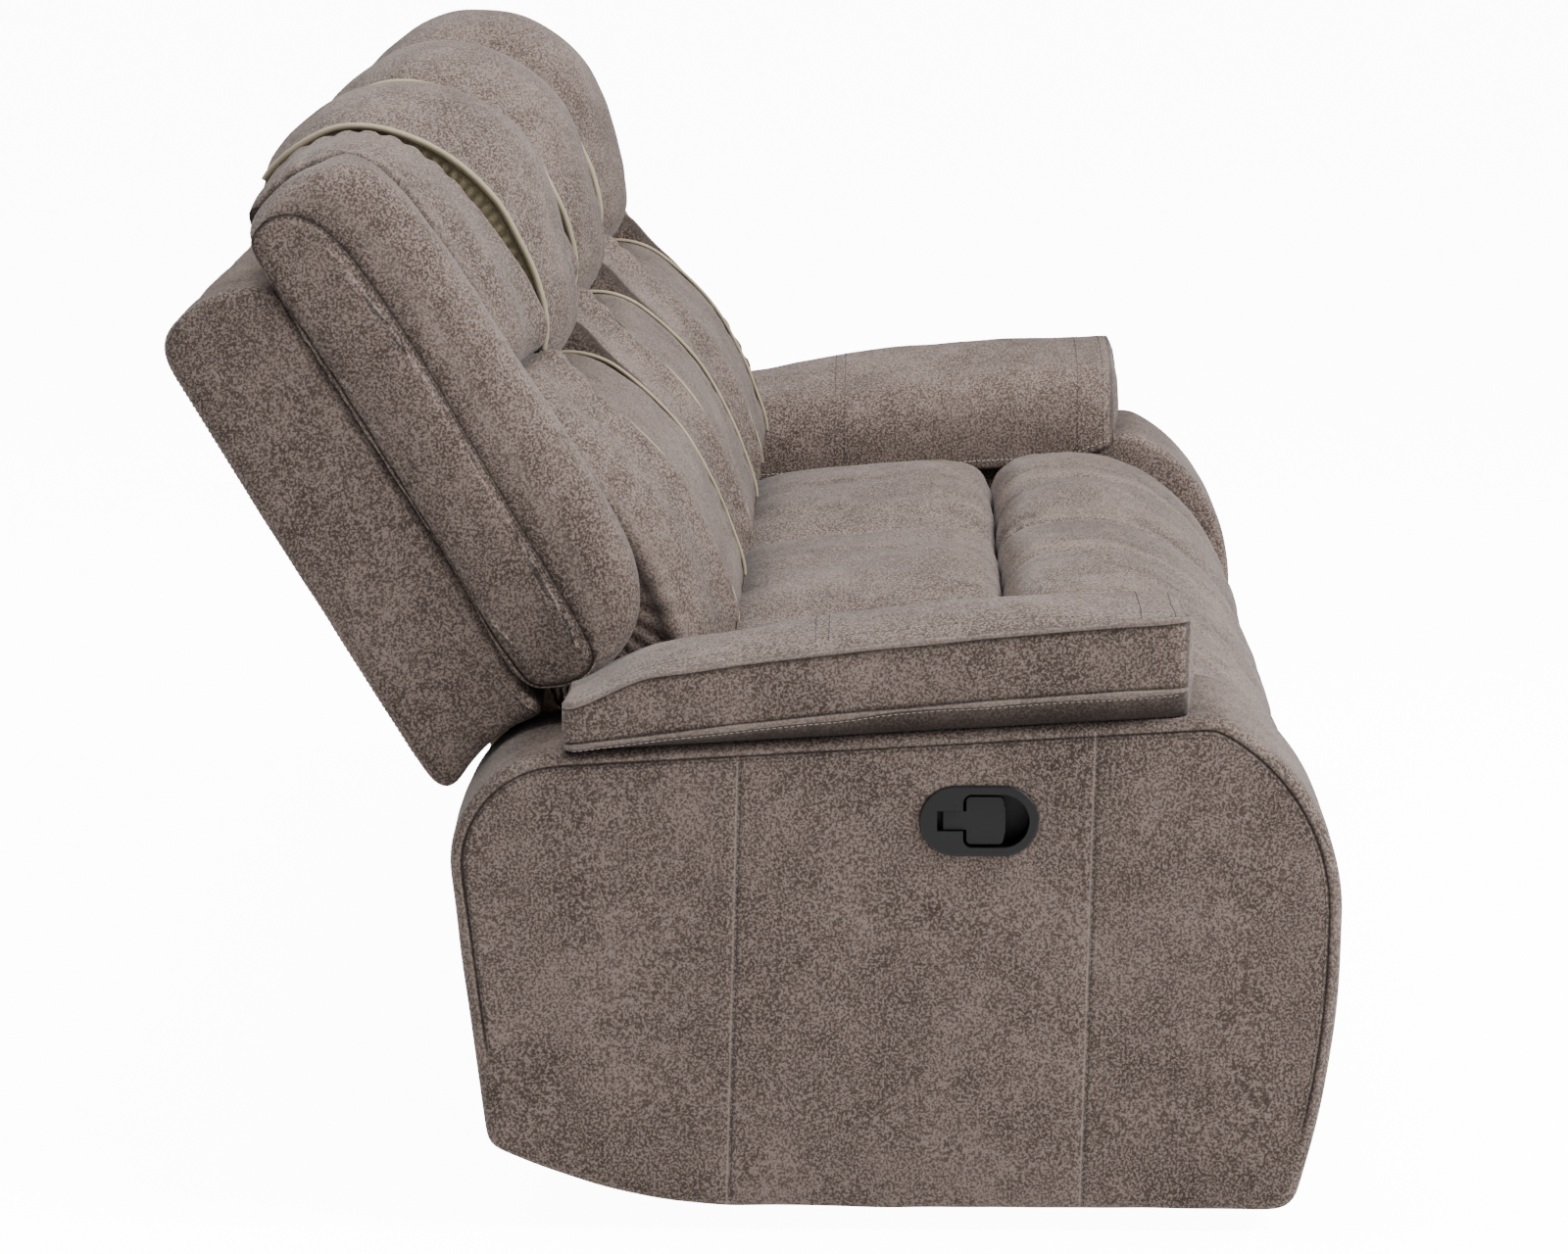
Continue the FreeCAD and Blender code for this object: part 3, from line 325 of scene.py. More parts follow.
SHADE, LIGHT = (0.022, 0.0138, 0.0103, 1), (0.070, 0.051, 0.042, 1)
SPECK_PALE = (0.23, 0.18, 0.16, 1)
# Paler colour on ridges and welts: painted highlight together with rubbed nap.
HIGHLIGHT_AND_WEAR_PALE = (0.16, 0.128, 0.112, 1)
SEAM_PALE = (0.20, 0.165, 0.145, 1)
# Darker colour in seams, creases, puckers, pockets and under welts: painted shade.
PAINTED_CREASE_SHADE = (0.012, 0.008, 0.0065, 1)


def new_group(name, inputs, outputs):
    """A shader node group with inputs (name, type, default) and outputs (name, type).

    Returns it with the nodes of its inputs and outputs, and the place on the object."""
    group = bpy.data.node_groups.new(name, "ShaderNodeTree")
    for label, kind, value in inputs:
        s = group.interface.new_socket(label, in_out="INPUT", socket_type="NodeSocket" + kind)
        s.default_value = value
    for label, kind in outputs:
        group.interface.new_socket(label, in_out="OUTPUT", socket_type="NodeSocket" + kind)
    i, o = group.nodes.new("NodeGroupInput"), group.nodes.new("NodeGroupOutput")
    return group, i, o, add(group, "ShaderNodeTexCoord").outputs["Object"]


def add(tree, kind, links=None, **settings):
    """A node with its settings, and its inputs linked or set by name or number."""
    node = tree.nodes.new(kind)
    for key, value in settings.items():
        setattr(node, key, value)
    for key, value in (links or {}).items():
        if isinstance(value, bpy.types.NodeSocket):
            tree.links.new(value, node.inputs[key])
        else:
            node.inputs[key].default_value = value
    return node


def calc(tree, operation, *values):
    """The result of a sum on sockets or numbers."""
    return add(tree, "ShaderNodeMath", dict(enumerate(values)), operation=operation).outputs[0]


def mixed(tree, share, one, other):
    """A mix of two colours, or of two numbers where neither side is a colour."""
    kinds = [getattr(side, "type", "RGBA" if isinstance(side, tuple) else "VALUE") for side in (one, other)]
    if "RGBA" in kinds:
        return add(tree, "ShaderNodeMix", {0: share, 6: one, 7: other}, data_type="RGBA").outputs[2]
    return add(tree, "ShaderNodeMix", {0: share, 2: one, 3: other}, data_type="FLOAT").outputs[0]


def noise(tree, place, scale, detail, rough=0.5, distortion=0.0):
    """The value of a noise texture."""
    links = {"Vector": place, "Scale": scale, "Detail": detail, "Roughness": rough, "Distortion": distortion}
    return add(tree, "ShaderNodeTexNoise", links).outputs["Fac"]


def ramp(tree, factor, stops):
    """A grey ramp through (place, value) stops."""
    node = add(tree, "ShaderNodeValToRGB", {0: factor})
    while len(node.color_ramp.elements) < len(stops):
        node.color_ramp.elements.new(0.5)
    for element, (at, value) in zip(node.color_ramp.elements, stops):
        element.position = at
        element.color = (value, value, value, 1)
    return node.outputs[0]


def nap_group():
    """Napped suede: cloudy patches of brushed pile, and a fine pebbled grain with pale specks on its tops."""
    g, i, o, place = new_group("Brushed suede", [
        ("Shade", "Color", (0.2, 0.15, 0.12, 1)), ("Light", "Color", (0.5, 0.43, 0.38, 1)),
        ("Cloud size", "Float", 9.0), ("Grain size", "Float", 500.0), ("Speck", "Float", 0.5),
    ], [("Color", "Color"), ("Height", "Float"), ("Cloud", "Float")])
    big = noise(g, place, i.outputs["Cloud size"], 7.0, 0.62, 0.35)
    scale = calc(g, "MULTIPLY", i.outputs["Cloud size"], 4.6)
    mid = noise(g, place, scale, 6.0, 0.7, 0.2)
    blend = mixed(g, 0.42, big, mid)
    cloud = ramp(g, blend, [(0.30, 0.0), (0.5, 0.4), (0.70, 1.0)])
    fine = noise(g, place, i.outputs["Grain size"], 2.0, 0.6)
    coarse = calc(g, "MULTIPLY", i.outputs["Grain size"], 0.7)
    pebble = noise(g, place, coarse, 1.0)
    grain = mixed(g, 0.35, fine, pebble)
    patch = calc(g, "MULTIPLY", cloud, 0.07)
    grain = calc(g, "ADD", grain, patch)
    speck = ramp(g, grain, [(0.48, 0.0), (0.60, 1.0)])
    tone = mixed(g, cloud, i.outputs["Shade"], i.outputs["Light"])
    lift = calc(g, "MULTIPLY", speck, i.outputs["Speck"])
    bright = mixed(g, lift, tone, SPECK_PALE)
    height = calc(g, "ADD", pebble, fine)
    g.links.new(bright, o.inputs["Color"])
    g.links.new(height, o.inputs["Height"])
    g.links.new(cloud, o.inputs["Cloud"])
    return g


def wood_group():
    """Sawn timber: stretched grain lines along X, with darker streaks."""
    # Both tones are kept dark: painted shade for the frame seen through the gaps between the covers.
    tones = [("Shade", "Color", (0.16, 0.10, 0.055, 1)), ("Light", "Color", (0.36, 0.26, 0.165, 1))]
    g, i, o, place = new_group("Sawn timber", tones, [("Color", "Color"), ("Height", "Float")])
    turned = add(g, "ShaderNodeMapping", {"Vector": place, "Scale": (1.5, 30.0, 30.0)}).outputs[0]
    line = noise(g, turned, 3.0, 8.0, 0.65, 0.6)
    tone = ramp(g, line, [(0.3, 0.0), (0.7, 1.0)])
    g.links.new(mixed(g, tone, i.outputs["Shade"], i.outputs["Light"]), o.inputs["Color"])
    g.links.new(line, o.inputs["Height"])
    return g


def wear_group():
    """Handling wear: fine scratches and smudges for smooth hard surfaces, as a roughness offset."""
    inputs = [("Base", "Float", 0.35), ("Amount", "Float", 0.15)]
    g, i, o, place = new_group("Handling wear", inputs, [("Roughness", "Float"), ("Height", "Float")])
    smudge = noise(g, place, 38.0, 5.0)
    fine = noise(g, place, 900.0, 2.0)
    both = mixed(g, 0.3, smudge, fine)
    part = calc(g, "MULTIPLY", both, i.outputs["Amount"])
    rough = calc(g, "ADD", part, i.outputs["Base"])
    g.links.new(rough, o.inputs["Roughness"])
    g.links.new(fine, o.inputs["Height"])
    return g


def new_material(name):
    material = bpy.data.materials.new(name)
    material.use_nodes = True
    tree = material.node_tree
    return material, tree, tree.nodes["Principled BSDF"]


def place_group(tree, group, **values):
    """A node of a group, with some of its inputs set."""
    node = add(tree, "ShaderNodeGroup", node_tree=group)
    settle(node, **values)
    return node


def settle(node, **values):
    """Sets inputs of a node by name, with _ for a space."""
    for key, value in values.items():
        node.inputs[key.replace("_", " ")].default_value = value


def relief(tree, shader, group, strength, depth):
    """Leads a group's height to the shader's normal as a bump."""
    links = {"Strength": strength, "Distance": depth, "Height": group.outputs["Height"]}
    tree.links.new(add(tree, "ShaderNodeBump", links).outputs[0], shader.inputs["Normal"])


NAP, WOOD, WEAR = nap_group(), wood_group(), wear_group()


def suede(name, shade, light, speck=0.5, with_painted_light=True):
    """Suede cover: brushed nap, with painted shade in the creases and a painted highlight, together with rubbed
    nap, on the ridges.
    """
    material, tree, shader = new_material(name)
    nap = place_group(tree, NAP, Shade=shade, Light=light, Speck=speck)
    color = nap.outputs["Color"]
    if with_painted_light:
        # Painted shade from the crease attribute; painted highlight with rubbed nap from the ridge attribute.
        crease = add(tree, "ShaderNodeAttribute", attribute_name="crease").outputs["Fac"]
        ridge = add(tree, "ShaderNodeAttribute", attribute_name="ridge").outputs["Fac"]
        color = mixed(tree, ridge, mixed(tree, crease, color, PAINTED_CREASE_SHADE), HIGHLIGHT_AND_WEAR_PALE)
    tree.links.new(color, shader.inputs["Base Color"])
    relief(tree, shader, nap, 0.35, 0.0006)
    settle(shader, Roughness=0.86, Specular_IOR_Level=0.12, Sheen_Weight=0.07, Sheen_Roughness=0.5)
    return material


def plain(name, color, rough, amount=0.15, metal=0.0, bump=0.05):
    """A smooth painted, moulded or metal surface with handling wear."""
    material, tree, shader = new_material(name)
    wear = place_group(tree, WEAR, Base=rough, Amount=amount)
    settle(shader, Base_Color=color, Metallic=metal)
    tree.links.new(wear.outputs["Roughness"], shader.inputs["Roughness"])
    relief(tree, shader, wear, bump, 0.0003)
    return material


def timber(name):
    material, tree, shader = new_material(name)
    wood = place_group(tree, WOOD)
    tree.links.new(wood.outputs["Color"], shader.inputs["Base Color"])
    relief(tree, shader, wood, 0.2, 0.0005)
    settle(shader, Roughness=0.7)
    return material


def seam_group():
    """An upright sewn seam on a side panel: a thin line and a dip where Y crosses a leaning line."""
    inputs = [("Foot", "Float", 0.0), ("Lean", "Float", 0.0), ("Top", "Float", 0.45)]
    g, i, o, place = new_group("Upright seam", inputs, [("Line", "Float"), ("Edge", "Float")])
    place = add(g, "ShaderNodeSeparateXYZ", {0: place})
    run = calc(g, "MULTIPLY", place.outputs["Z"], i.outputs["Lean"])
    centre = calc(g, "ADD", run, i.outputs["Foot"])
    off = calc(g, "SUBTRACT", place.outputs["Y"], centre)
    off = calc(g, "ABSOLUTE", off)
    below = calc(g, "LESS_THAN", place.outputs["Z"], i.outputs["Top"])
    far = calc(g, "ABSOLUTE", place.outputs["X"])
    face = calc(g, "GREATER_THAN", far, seam_from_x)
    gate = calc(g, "MULTIPLY", below, face)
    for label, width in (("Line", 0.0016), ("Edge", 0.006)):
        fall = add(g, "ShaderNodeMapRange", {0: off, 1: 0.0, 2: width, 3: 1.0, 4: 0.0})
        part = calc(g, "MULTIPLY", fall.outputs[0], gate)
        g.links.new(part, o.inputs[label])
    return g


def arm_suede(name):
    """Suede of the arm boxes, with the two upright seams of each outer panel."""
    material = suede(name, SHADE, LIGHT)
    tree = material.node_tree
    shader = tree.nodes["Principled BSDF"]
    color = shader.inputs["Base Color"].links[0].from_socket
    normal = shader.inputs["Normal"].links[0].from_socket
    for foot, top, high in arm_seams:
        lean = (top - foot) / (high - seam_foot_z)
        seam = place_group(tree, SEAM, Foot=(foot - seam_foot_z * lean) * MM, Lean=lean, Top=high * MM)
        part = calc(tree, "MULTIPLY", seam.outputs["Line"], 0.55)
        color = mixed(tree, part, color, SEAM_PALE)
        dip = add(tree, "ShaderNodeBump", {"Strength": 0.7, "Distance": 0.002, "Height": seam.outputs["Edge"],
                                           "Normal": normal}, invert=True)
        normal = dip.outputs[0]
    tree.links.new(color, shader.inputs["Base Color"])
    tree.links.new(normal, shader.inputs["Normal"])
    return material


seam_from_x = 1.07                               # metres from the middle, just inside the arms' outer faces
SEAM = seam_group()
seam_foot_z = 26
arm_seams = ((20, 9, 449), (-308, -319, 474))    # foot Y, top Y and top Z of the side panel's upright seams
SUEDE = suede("suede", SHADE, LIGHT)
SUEDE_FLAT = suede("suede_board", SHADE, LIGHT, with_painted_light=False)
ARM = arm_suede("suede_arm")
KHAKI = suede("khaki_gusset", (0.055, 0.046, 0.025, 1), (0.15, 0.125, 0.07, 1), speck=0.2, with_painted_light=False)
PIPING = suede("pale_piping", (0.16, 0.137, 0.088, 1), (0.29, 0.252, 0.172, 1), speck=0.2, with_painted_light=False)
DARK_THREAD = plain("dark_thread", (0.014, 0.010, 0.009, 1), 0.75)
PALE_THREAD = plain("pale_thread", (0.27, 0.235, 0.19, 1), 0.7)
STEEL = plain("black_steel", (0.03, 0.03, 0.033, 1), 0.38, 0.25, 0.4)
SPRING = plain("spring_steel", (0.3, 0.3, 0.31, 1), 0.35, 0.2, 1.0)
PLASTIC = plain("black_plastic", (0.004, 0.004, 0.0045, 1), 0.36, 0.2)
settle(PLASTIC.node_tree.nodes["Principled BSDF"], Specular_IOR_Level=0.22)
MATTE = plain("matte_black", (0.02, 0.02, 0.02, 1), 0.6)
TIMBER = timber("timber")

slot_material = {"suede": SUEDE_FLAT, "timber": TIMBER, "mechanism_steel": STEEL, "spring_steel": SPRING,
                 "glide_plastic": MATTE, "handle_plastic": PLASTIC, "cable_sheath": MATTE}
for part in frame["record"]["subparts"]:
    node = frame["nodes"][part["node"]]
    node.data.materials.clear()
    node.data.materials.append(slot_material[part["material_slot"]])


def finished(obj, body, node, material=None):
    """Gives a padded piece its cover and its body, and hides the CAD node that it stands for."""
    obj.data.materials.append(material or SUEDE)
    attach(obj, body)
    if node:
        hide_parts(node)
    return obj


# Side-view outlines, millimetres

LOOP = 168                  # points round a loop

head_edge = [
    (380, 127), (367, 170), (364, 215), (372, 255), (402, 290), (448, 309), (490, 315), (529, 317),
    (570, 309), (606, 294), (640, 270), (661, 247), (674, 222), (678, 195), (676, 165), (668, 140),
    (655, 127), (560, 127), (460, 127),
]
head_crown = [
    (376, 127), (362, 170), (358, 212), (360, 258), (382, 306), (422, 330), (460, 343), (510, 357),
    (557, 362), (600, 352), (640, 328), (668, 300), (688, 266), (696, 232), (695, 195), (688, 158),
    (672, 129), (560, 127), (460, 127),
]
head_side_inner = [
    (392, 127), (389, 165), (387, 215), (388, 262), (393, 287), (406, 299), (438, 305), (470, 307),
    (520, 304), (559, 299), (598, 289), (637, 271), (661, 246), (676, 212), (679, 183), (670, 148),
    (656, 127), (560, 127), (470, 127),
]
head_side_outer = [
    (394, 127), (391, 160), (391, 198), (393, 230), (402, 250), (420, 262), (445, 267), (480, 269),
    (522, 270), (559, 270), (600, 266), (636, 255), (656, 238), (665, 208), (668, 178), (662, 148),
    (652, 127), (560, 127), (470, 127),
]
lumbar_edge = [
    (44, 127), (35, 170), (34, 225), (40, 268), (61, 298), (117, 315), (170, 323), (225, 324), (282, 312),
    (325, 294), (350, 268), (363, 232), (367, 190), (361, 150), (354, 127), (260, 127), (140, 127),
]
lumbar_inner = [
    (44, 127), (35, 170), (33, 222), (38, 271), (60, 303), (117, 321), (170, 329), (225, 329), (282, 318),
    (335, 304), (370, 297), (385, 286), (389, 262), (390, 225), (388, 160), (384, 127), (260, 127),
    (140, 127),
]
lumbar_outer = [
    (46, 127), (36, 155), (35, 190), (42, 222), (62, 246), (117, 263), (170, 270), (225, 269), (282, 263),
    (330, 257), (364, 252), (383, 240), (389, 218), (390, 182), (388, 148), (384, 127), (260, 127),
    (140, 127),
]
wing_crown = [
    (142, 127), (127, 146), (119, 168), (117, 192), (121, 214), (134, 237), (156, 255), (188, 269),
    (230, 276), (330, 278), (450, 277), (547, 274), (600, 268), (632, 256), (651, 236), (661, 208),
    (663, 180), (656, 152), (640, 130), (600, 127), (450, 127), (300, 127),
]
wing_seam = [
    (146, 129), (132, 146), (125, 165), (126, 182), (135, 193), (165, 198), (215, 200), (261, 201),
    (326, 203), (384, 205), (444, 207), (495, 207), (546, 205), (591, 200), (617, 191), (634, 178),
    (642, 162), (641, 145), (633, 132), (590, 128), (450, 128), (300, 128),
]
wing_inner = [
    (144, 127), (130, 146), (122, 173), (121, 198), (127, 218), (142, 238), (168, 250), (200, 256),
    (240, 258), (330, 259), (450, 258), (547, 257), (605, 256), (638, 248), (654, 236), (659, 205),
    (659, 171), (652, 136), (626, 128), (590, 127), (450, 127), (300, 127),
]
cushion_edge = [
    (-250, 341), (-251, 390), (-248, 425), (-232, 446), (-192, 451), (-120, 446), (-48, 436), (20, 421),
    (55, 402), (69, 375), (69, 341), (-90, 341),
]
cushion_crown = [
    (-250, 341), (-252, 400), (-249, 444), (-229, 467), (-185, 477), (-120, 474), (-48, 467), (12, 458),
    (54, 437), (70, 400), (69, 341), (-90, 341),
]
roll_edge = [
    (-253, 341), (-253, 400), (-257, 436), (-280, 456), (-324, 463), (-366, 463), (-415, 451),
    (-457, 427), (-488, 398), (-508, 366), (-522, 335), (-527, 310), (-514, 303), (-460, 303),
    (-444, 312), (-443, 341), (-350, 341),
]
roll_crown = [
    (-253, 341), (-252, 404), (-257, 446), (-284, 473), (-324, 481), (-372, 481), (-424, 466),
    (-467, 438), (-500, 405), (-523, 366), (-537, 332), (-540, 310), (-522, 301), (-460, 302),
    (-444, 312), (-443, 341), (-350, 341),
]
foot_edge = [
    (-467.5, 75), (-478, 62), (-500, 60), (-518, 72), (-528, 110), (-531, 175), (-528, 240), (-516, 276),
    (-496, 288), (-476, 288), (-467.5, 278), (-467.5, 175),
]
foot_crown = [
    (-467.5, 75), (-480, 60), (-503, 59), (-526, 74), (-538, 110), (-541, 175), (-537, 240), (-522, 278),
    (-498, 292), (-477, 291), (-467.5, 280), (-467.5, 175),
]
seat_bottom = 341.0         # height of the seats' flat undersides
foot_back = -467.5          # flat rear of the footrest pads
panel_rear_shift = 24.0     # the fixed front panel starts this much further back


def lay(loop, x, back=True):
    """A plane loop set at X; on a back its points are (u, n)."""
    side = on_back(loop) if back else np.asarray(loop)
    return np.concatenate([np.full((len(side), 1), float(x)), side], 1)


def across(edge_a, crown, edge_b, x0, x1, power, count, back=True, rounds=(16, 16), valleys=(), base=None):
    """A pad as loops across X: each is the crown outline eased to the outlines at its two sides.

    The share of the crown is one minus the distance from the middle to a power. Near each side the loops are
    inset as a quarter round. At each valley place they are inset by a bell of the given depth and width. Only
    points away from the flat base move. Returns the loops, the painted shade of each loop (darkest in the seams
    and valleys) and its painted highlight with rubbed nap (on the rounded shoulders)."""
    a, c, b = (spline(o, LOOP) for o in (edge_a, crown, edge_b))
    t = np.linspace(-1, 1, count)
    t = np.sign(t) * (1 - (1 - np.abs(t)) ** 1.35)
    x = (x0 + x1) / 2 + t * (x1 - x0) / 2
    loops, crease, ridge = [], [], []
    for ti, xi in zip(t, x):
        share = 1 - abs(ti) ** power
        side = a if ti < 0 else b
        loop = side + (c - side) * share
        reach, r = min((xi - x0, rounds[0]), (x1 - xi, rounds[1]))
        if reach < r:
            loop = inset(loop, (r - math.sqrt(r ** 2 - (r - reach) ** 2)) * away(loop, base))
        # Painted shade in the seam at the pad's edge, and a painted highlight with rubbed nap on its rounded
        # shoulder.
        dark = 0.85 * math.exp(-reach / 2.2)
        highlight_and_wear = 0.3 * math.exp(-((reach - 0.8 * r) / 4.0) ** 2)
        for place, depth, width in valleys:
            far = abs(xi - place)
            loop = inset(loop, depth * math.exp(-(far / width) ** 1.2) * away(loop, base))
            # Painted shade at the bottom of a valley, and a painted highlight with rubbed nap on its shoulders.
            dark = max(dark, 0.8 * math.exp(-far / 2.0))
            highlight_and_wear = max(highlight_and_wear, 0.35 * math.exp(-((far - width) / 7.0) ** 2))
        loops.append(lay(loop, xi, back))
        crease.append(np.full(LOOP, dark))
        ridge.append(np.full(LOOP, highlight_and_wear))
    return np.stack(loops), np.stack(crease), np.stack(ridge)


def away(loop, base):
    """How much each point of a loop is free to move: nothing on its flat base, all of it elsewhere."""
    if base is None:
        return np.ones(len(loop))
    return smooth_step((base(loop) - 2.0) / 14.0)


def back_base(loop):
    return loop[:, 1] - pad_base


def seat_base(loop):
    return loop[:, 1] - seat_bottom


def pad(name, body, node, shape, bulges=(2, 2), ripple=1.2, seed=1, pucker=0.0, folds=0.0):
    """Closes a stack of loops, gives it some unevenness, and finishes it as a padded piece.

    Puckers are short valleys square to the end seams, which fade out within a few centimetres of them. Folds
    are soft valleys along the loops, made of sharpened waves across X."""
    loops, crease, ridge = shape
    grid = ends(loops, bulges)
    extra = (len(grid) - len(loops)) // 2
    n = normals_of(grid)
    x = grid[..., 0]
    reach = np.minimum(x - loops[0, 0, 0], loops[-1, 0, 0] - x)
    middle = np.linalg.norm(np.diff(loops[len(loops) // 2], axis=0), axis=1).sum()
    run = np.arange(grid.shape[1]) / grid.shape[1] * middle
    phase = 2 * math.pi * run / 27.0 + 2.2 * np.sin(run / 47.0 + seed)
    uneven = np.clip(0.5 + 0.8 * np.sin(run / 61.0 + 2 * seed), 0, 1)
    dip = pucker * uneven * np.clip(np.sin(phase), -0.3, 1) * np.exp(-np.clip(reach, 0, None) / 20.0)
    wander = x + 9 * waves(grid, 240.0, seed + 9)
    where = smooth_step((waves(grid, 210.0, seed + 20) + 0.4) / 0.8)
    fold = folds * (1 - np.abs(np.sin(wander / 46.0 + seed))) ** 3 * where
    lift = ripple * (waves(grid, 120.0, seed) + 0.4 * waves(grid, 45.0, seed + 50)) - dip - fold
    free = np.ones(len(grid))
    free[:extra] = free[len(grid) - extra:] = 0.3
    grid = grid + n * (lift * free[:, None])[..., None]
    whole = np.zeros((2,) + grid.shape[:2])
    # Painted shade: the crease values, deepened in the puckers and folds. Painted highlight with rubbed nap: the
    # ridge values.
    whole[0, extra:extra + len(loops)] = crease
    whole[0] = np.clip(whole[0] + 0.1 * np.clip(dip, 0, 3) + 0.06 * fold, 0, 0.9)
    whole[1, extra:extra + len(loops)] = ridge
    obj = skin(name, grid, {"crease": whole[0], "ridge": whole[1]})
    return finished(obj, body, node)


def seat_x(name):
    return SEATS[name] * seat_pitch


def back_body(name):
    return "base" if name == "centre" else "back_" + name


def bulged(outline, amount):
    """A back outline with its front pushed out by an amount, fading to nothing at both of its ends."""
    top, low = max(u for u, n in outline), min(u for u, n in outline)

    def out(u, n):
        return amount * math.sin(math.pi * (u - low) / (top - low)) if n > 135 else 0

    return [(u, n + out(u, n)) for u, n in outline]


def between(one, other):
    """The outline half way between two outlines with the same count of points."""
    return [(0.5 * (p[0] + q[0]), 0.5 * (p[1] + q[1])) for p, q in zip(one, other)]


side_pads = (
    ("lumbar", lumbar_inner, lumbar_outer, 7, 2.6),         # kind, outlines, seed and depth of puckers
    ("head", head_side_inner, head_side_outer, 11, 2.4),
)
side_bulge = 8.0            # how far the middle of a side pad stands out
side_rounds = (11, 3)       # edge rounding next to the neighbouring seat and next to the centre panel


def make_back(name):
    """The six pads of one back, with piping along the centre panels and the head panel's gussets."""
    x, body = seat_x(name), back_body(name)
    half = panel_half - 4
    shape = across(head_edge, head_crown, head_edge, x - half, x + half, 2.4, 61,
                   rounds=(5, 5), base=back_base)
    head = pad("head_panel_" + name, body, "head_pad_" + name, shape, (0, 0), seed=3, pucker=1.0,
               folds=1.6)
    shape = across(lumbar_edge, bulged(lumbar_edge, 3), lumbar_edge, x - half - 3, x + half + 3, 2.6, 61,
                   rounds=(3, 3), base=back_base)
    pad("lumbar_panel_" + name, body, "lumbar_pad_" + name, shape, (0, 0), seed=5, pucker=0.8, folds=1.5)
    for side in (-1, 1):
        word = "%s_%s" % (name, "a" if side < 0 else "b")
        near, far = x + side * (panel_half + 1), x + side * (seat_half - 1.2)
        rounds = side_rounds if side < 0 else side_rounds[::-1]
        for kind, inner, outer, seed, pucker in side_pads:
            pair = (outer, inner) if side < 0 else (inner, outer)
            middle = bulged(between(*pair), side_bulge)
            shape = across(pair[0], middle, pair[1], min(near, far), max(near, far), 1.8, 45,
                           rounds=rounds, base=back_base)
            pad(kind + "_side_" + word, body, kind + "_sides_" + name, shape, (0.4, 0.4),
                seed=seed + side, pucker=pucker)
        trim_head(name, body, x, side)
        piping("lumbar_piping_" + word, body, line_between(lumbar_edge, (60, 301), (364, 228)),
               x + side * (panel_half - 0.5), 2.3)
        path = lay(inset_line(line_between(head_edge, (402, 290), (668, 140)), -2), x + side * (half - 7))
        sew(body, head, path)


def line_between(outline, start, stop):
    """The part of a back outline between the points nearest to two places."""
    edge = spline(outline, 500)
    a, b = (np.argmin(np.linalg.norm(edge - np.array(q), axis=1)) for q in (start, stop))
    return edge[a:b + 1]


def piping(name, body, line, at, radius):
    """A piped seam: a round cord along a line of (u, n), at one place across the seat."""
    cord = tube(name, lay(inset_line(line, -0.6 * radius), at), radius)
    cord.data.materials.append(PIPING)
    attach(cord, body)


def trim_head(name, body, x, side):
    """Piping round one edge of a raised head panel, and the pleated gusset below it.

    The gusset runs from the piping down into the panel. Its pleats are a wave along the edge that fades in
    below the piping."""
    word = "%s_%s" % (name, "a" if side < 0 else "b")
    line = line_between(head_edge, (390, 275), (668, 140))
    at = x + side * (panel_half - 4)
    piping("piping_" + word, body, line, at + side * 1.0, 3.4)
    run = np.concatenate([[0], np.cumsum(np.linalg.norm(np.diff(line, axis=0), axis=1))])
    pleat = np.sin(2 * math.pi * run / 12.5 + 0.8 * np.sin(run / 31.0))
    rows = []
    for d in np.linspace(0, 1, 14):
        push = 0.8 + 1.5 * smooth_step(d * 4) * pleat + 1.2 * math.sin(math.pi * min(d * 1.3, 1))
        p = lay(inset_line(line, 1.5 + 44 * d), 0)
        p[:, 0] = at + side * push
        rows.append(p)
    front = np.stack(rows, 1)
    behind = front.copy()
    behind[..., 0] = at - side * 3.0
    gusset = skin("gusset_" + word, np.concatenate([front, behind[:, ::-1]], 1))
    gusset.data.materials.append(KHAKI)
    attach(gusset, body)


def inset_line(line, depth):
    """An open line of (u, n) moved towards the back's inside."""
    t = np.gradient(line, axis=0)
    normal = np.stack([-t[:, 1], t[:, 0]], -1)
    normal /= np.linalg.norm(normal, axis=1, keepdims=True)
    inside = line.mean(0) * np.array([1, 0]) + np.array([0, 150.0]) - line
    normal *= np.sign(np.sum(normal * inside, 1, keepdims=True))
    return line + normal * depth


shell_foot_r = 118.0        # about the recline pivot
shell_top_r = 34.0
shell_edge_r = 13.0


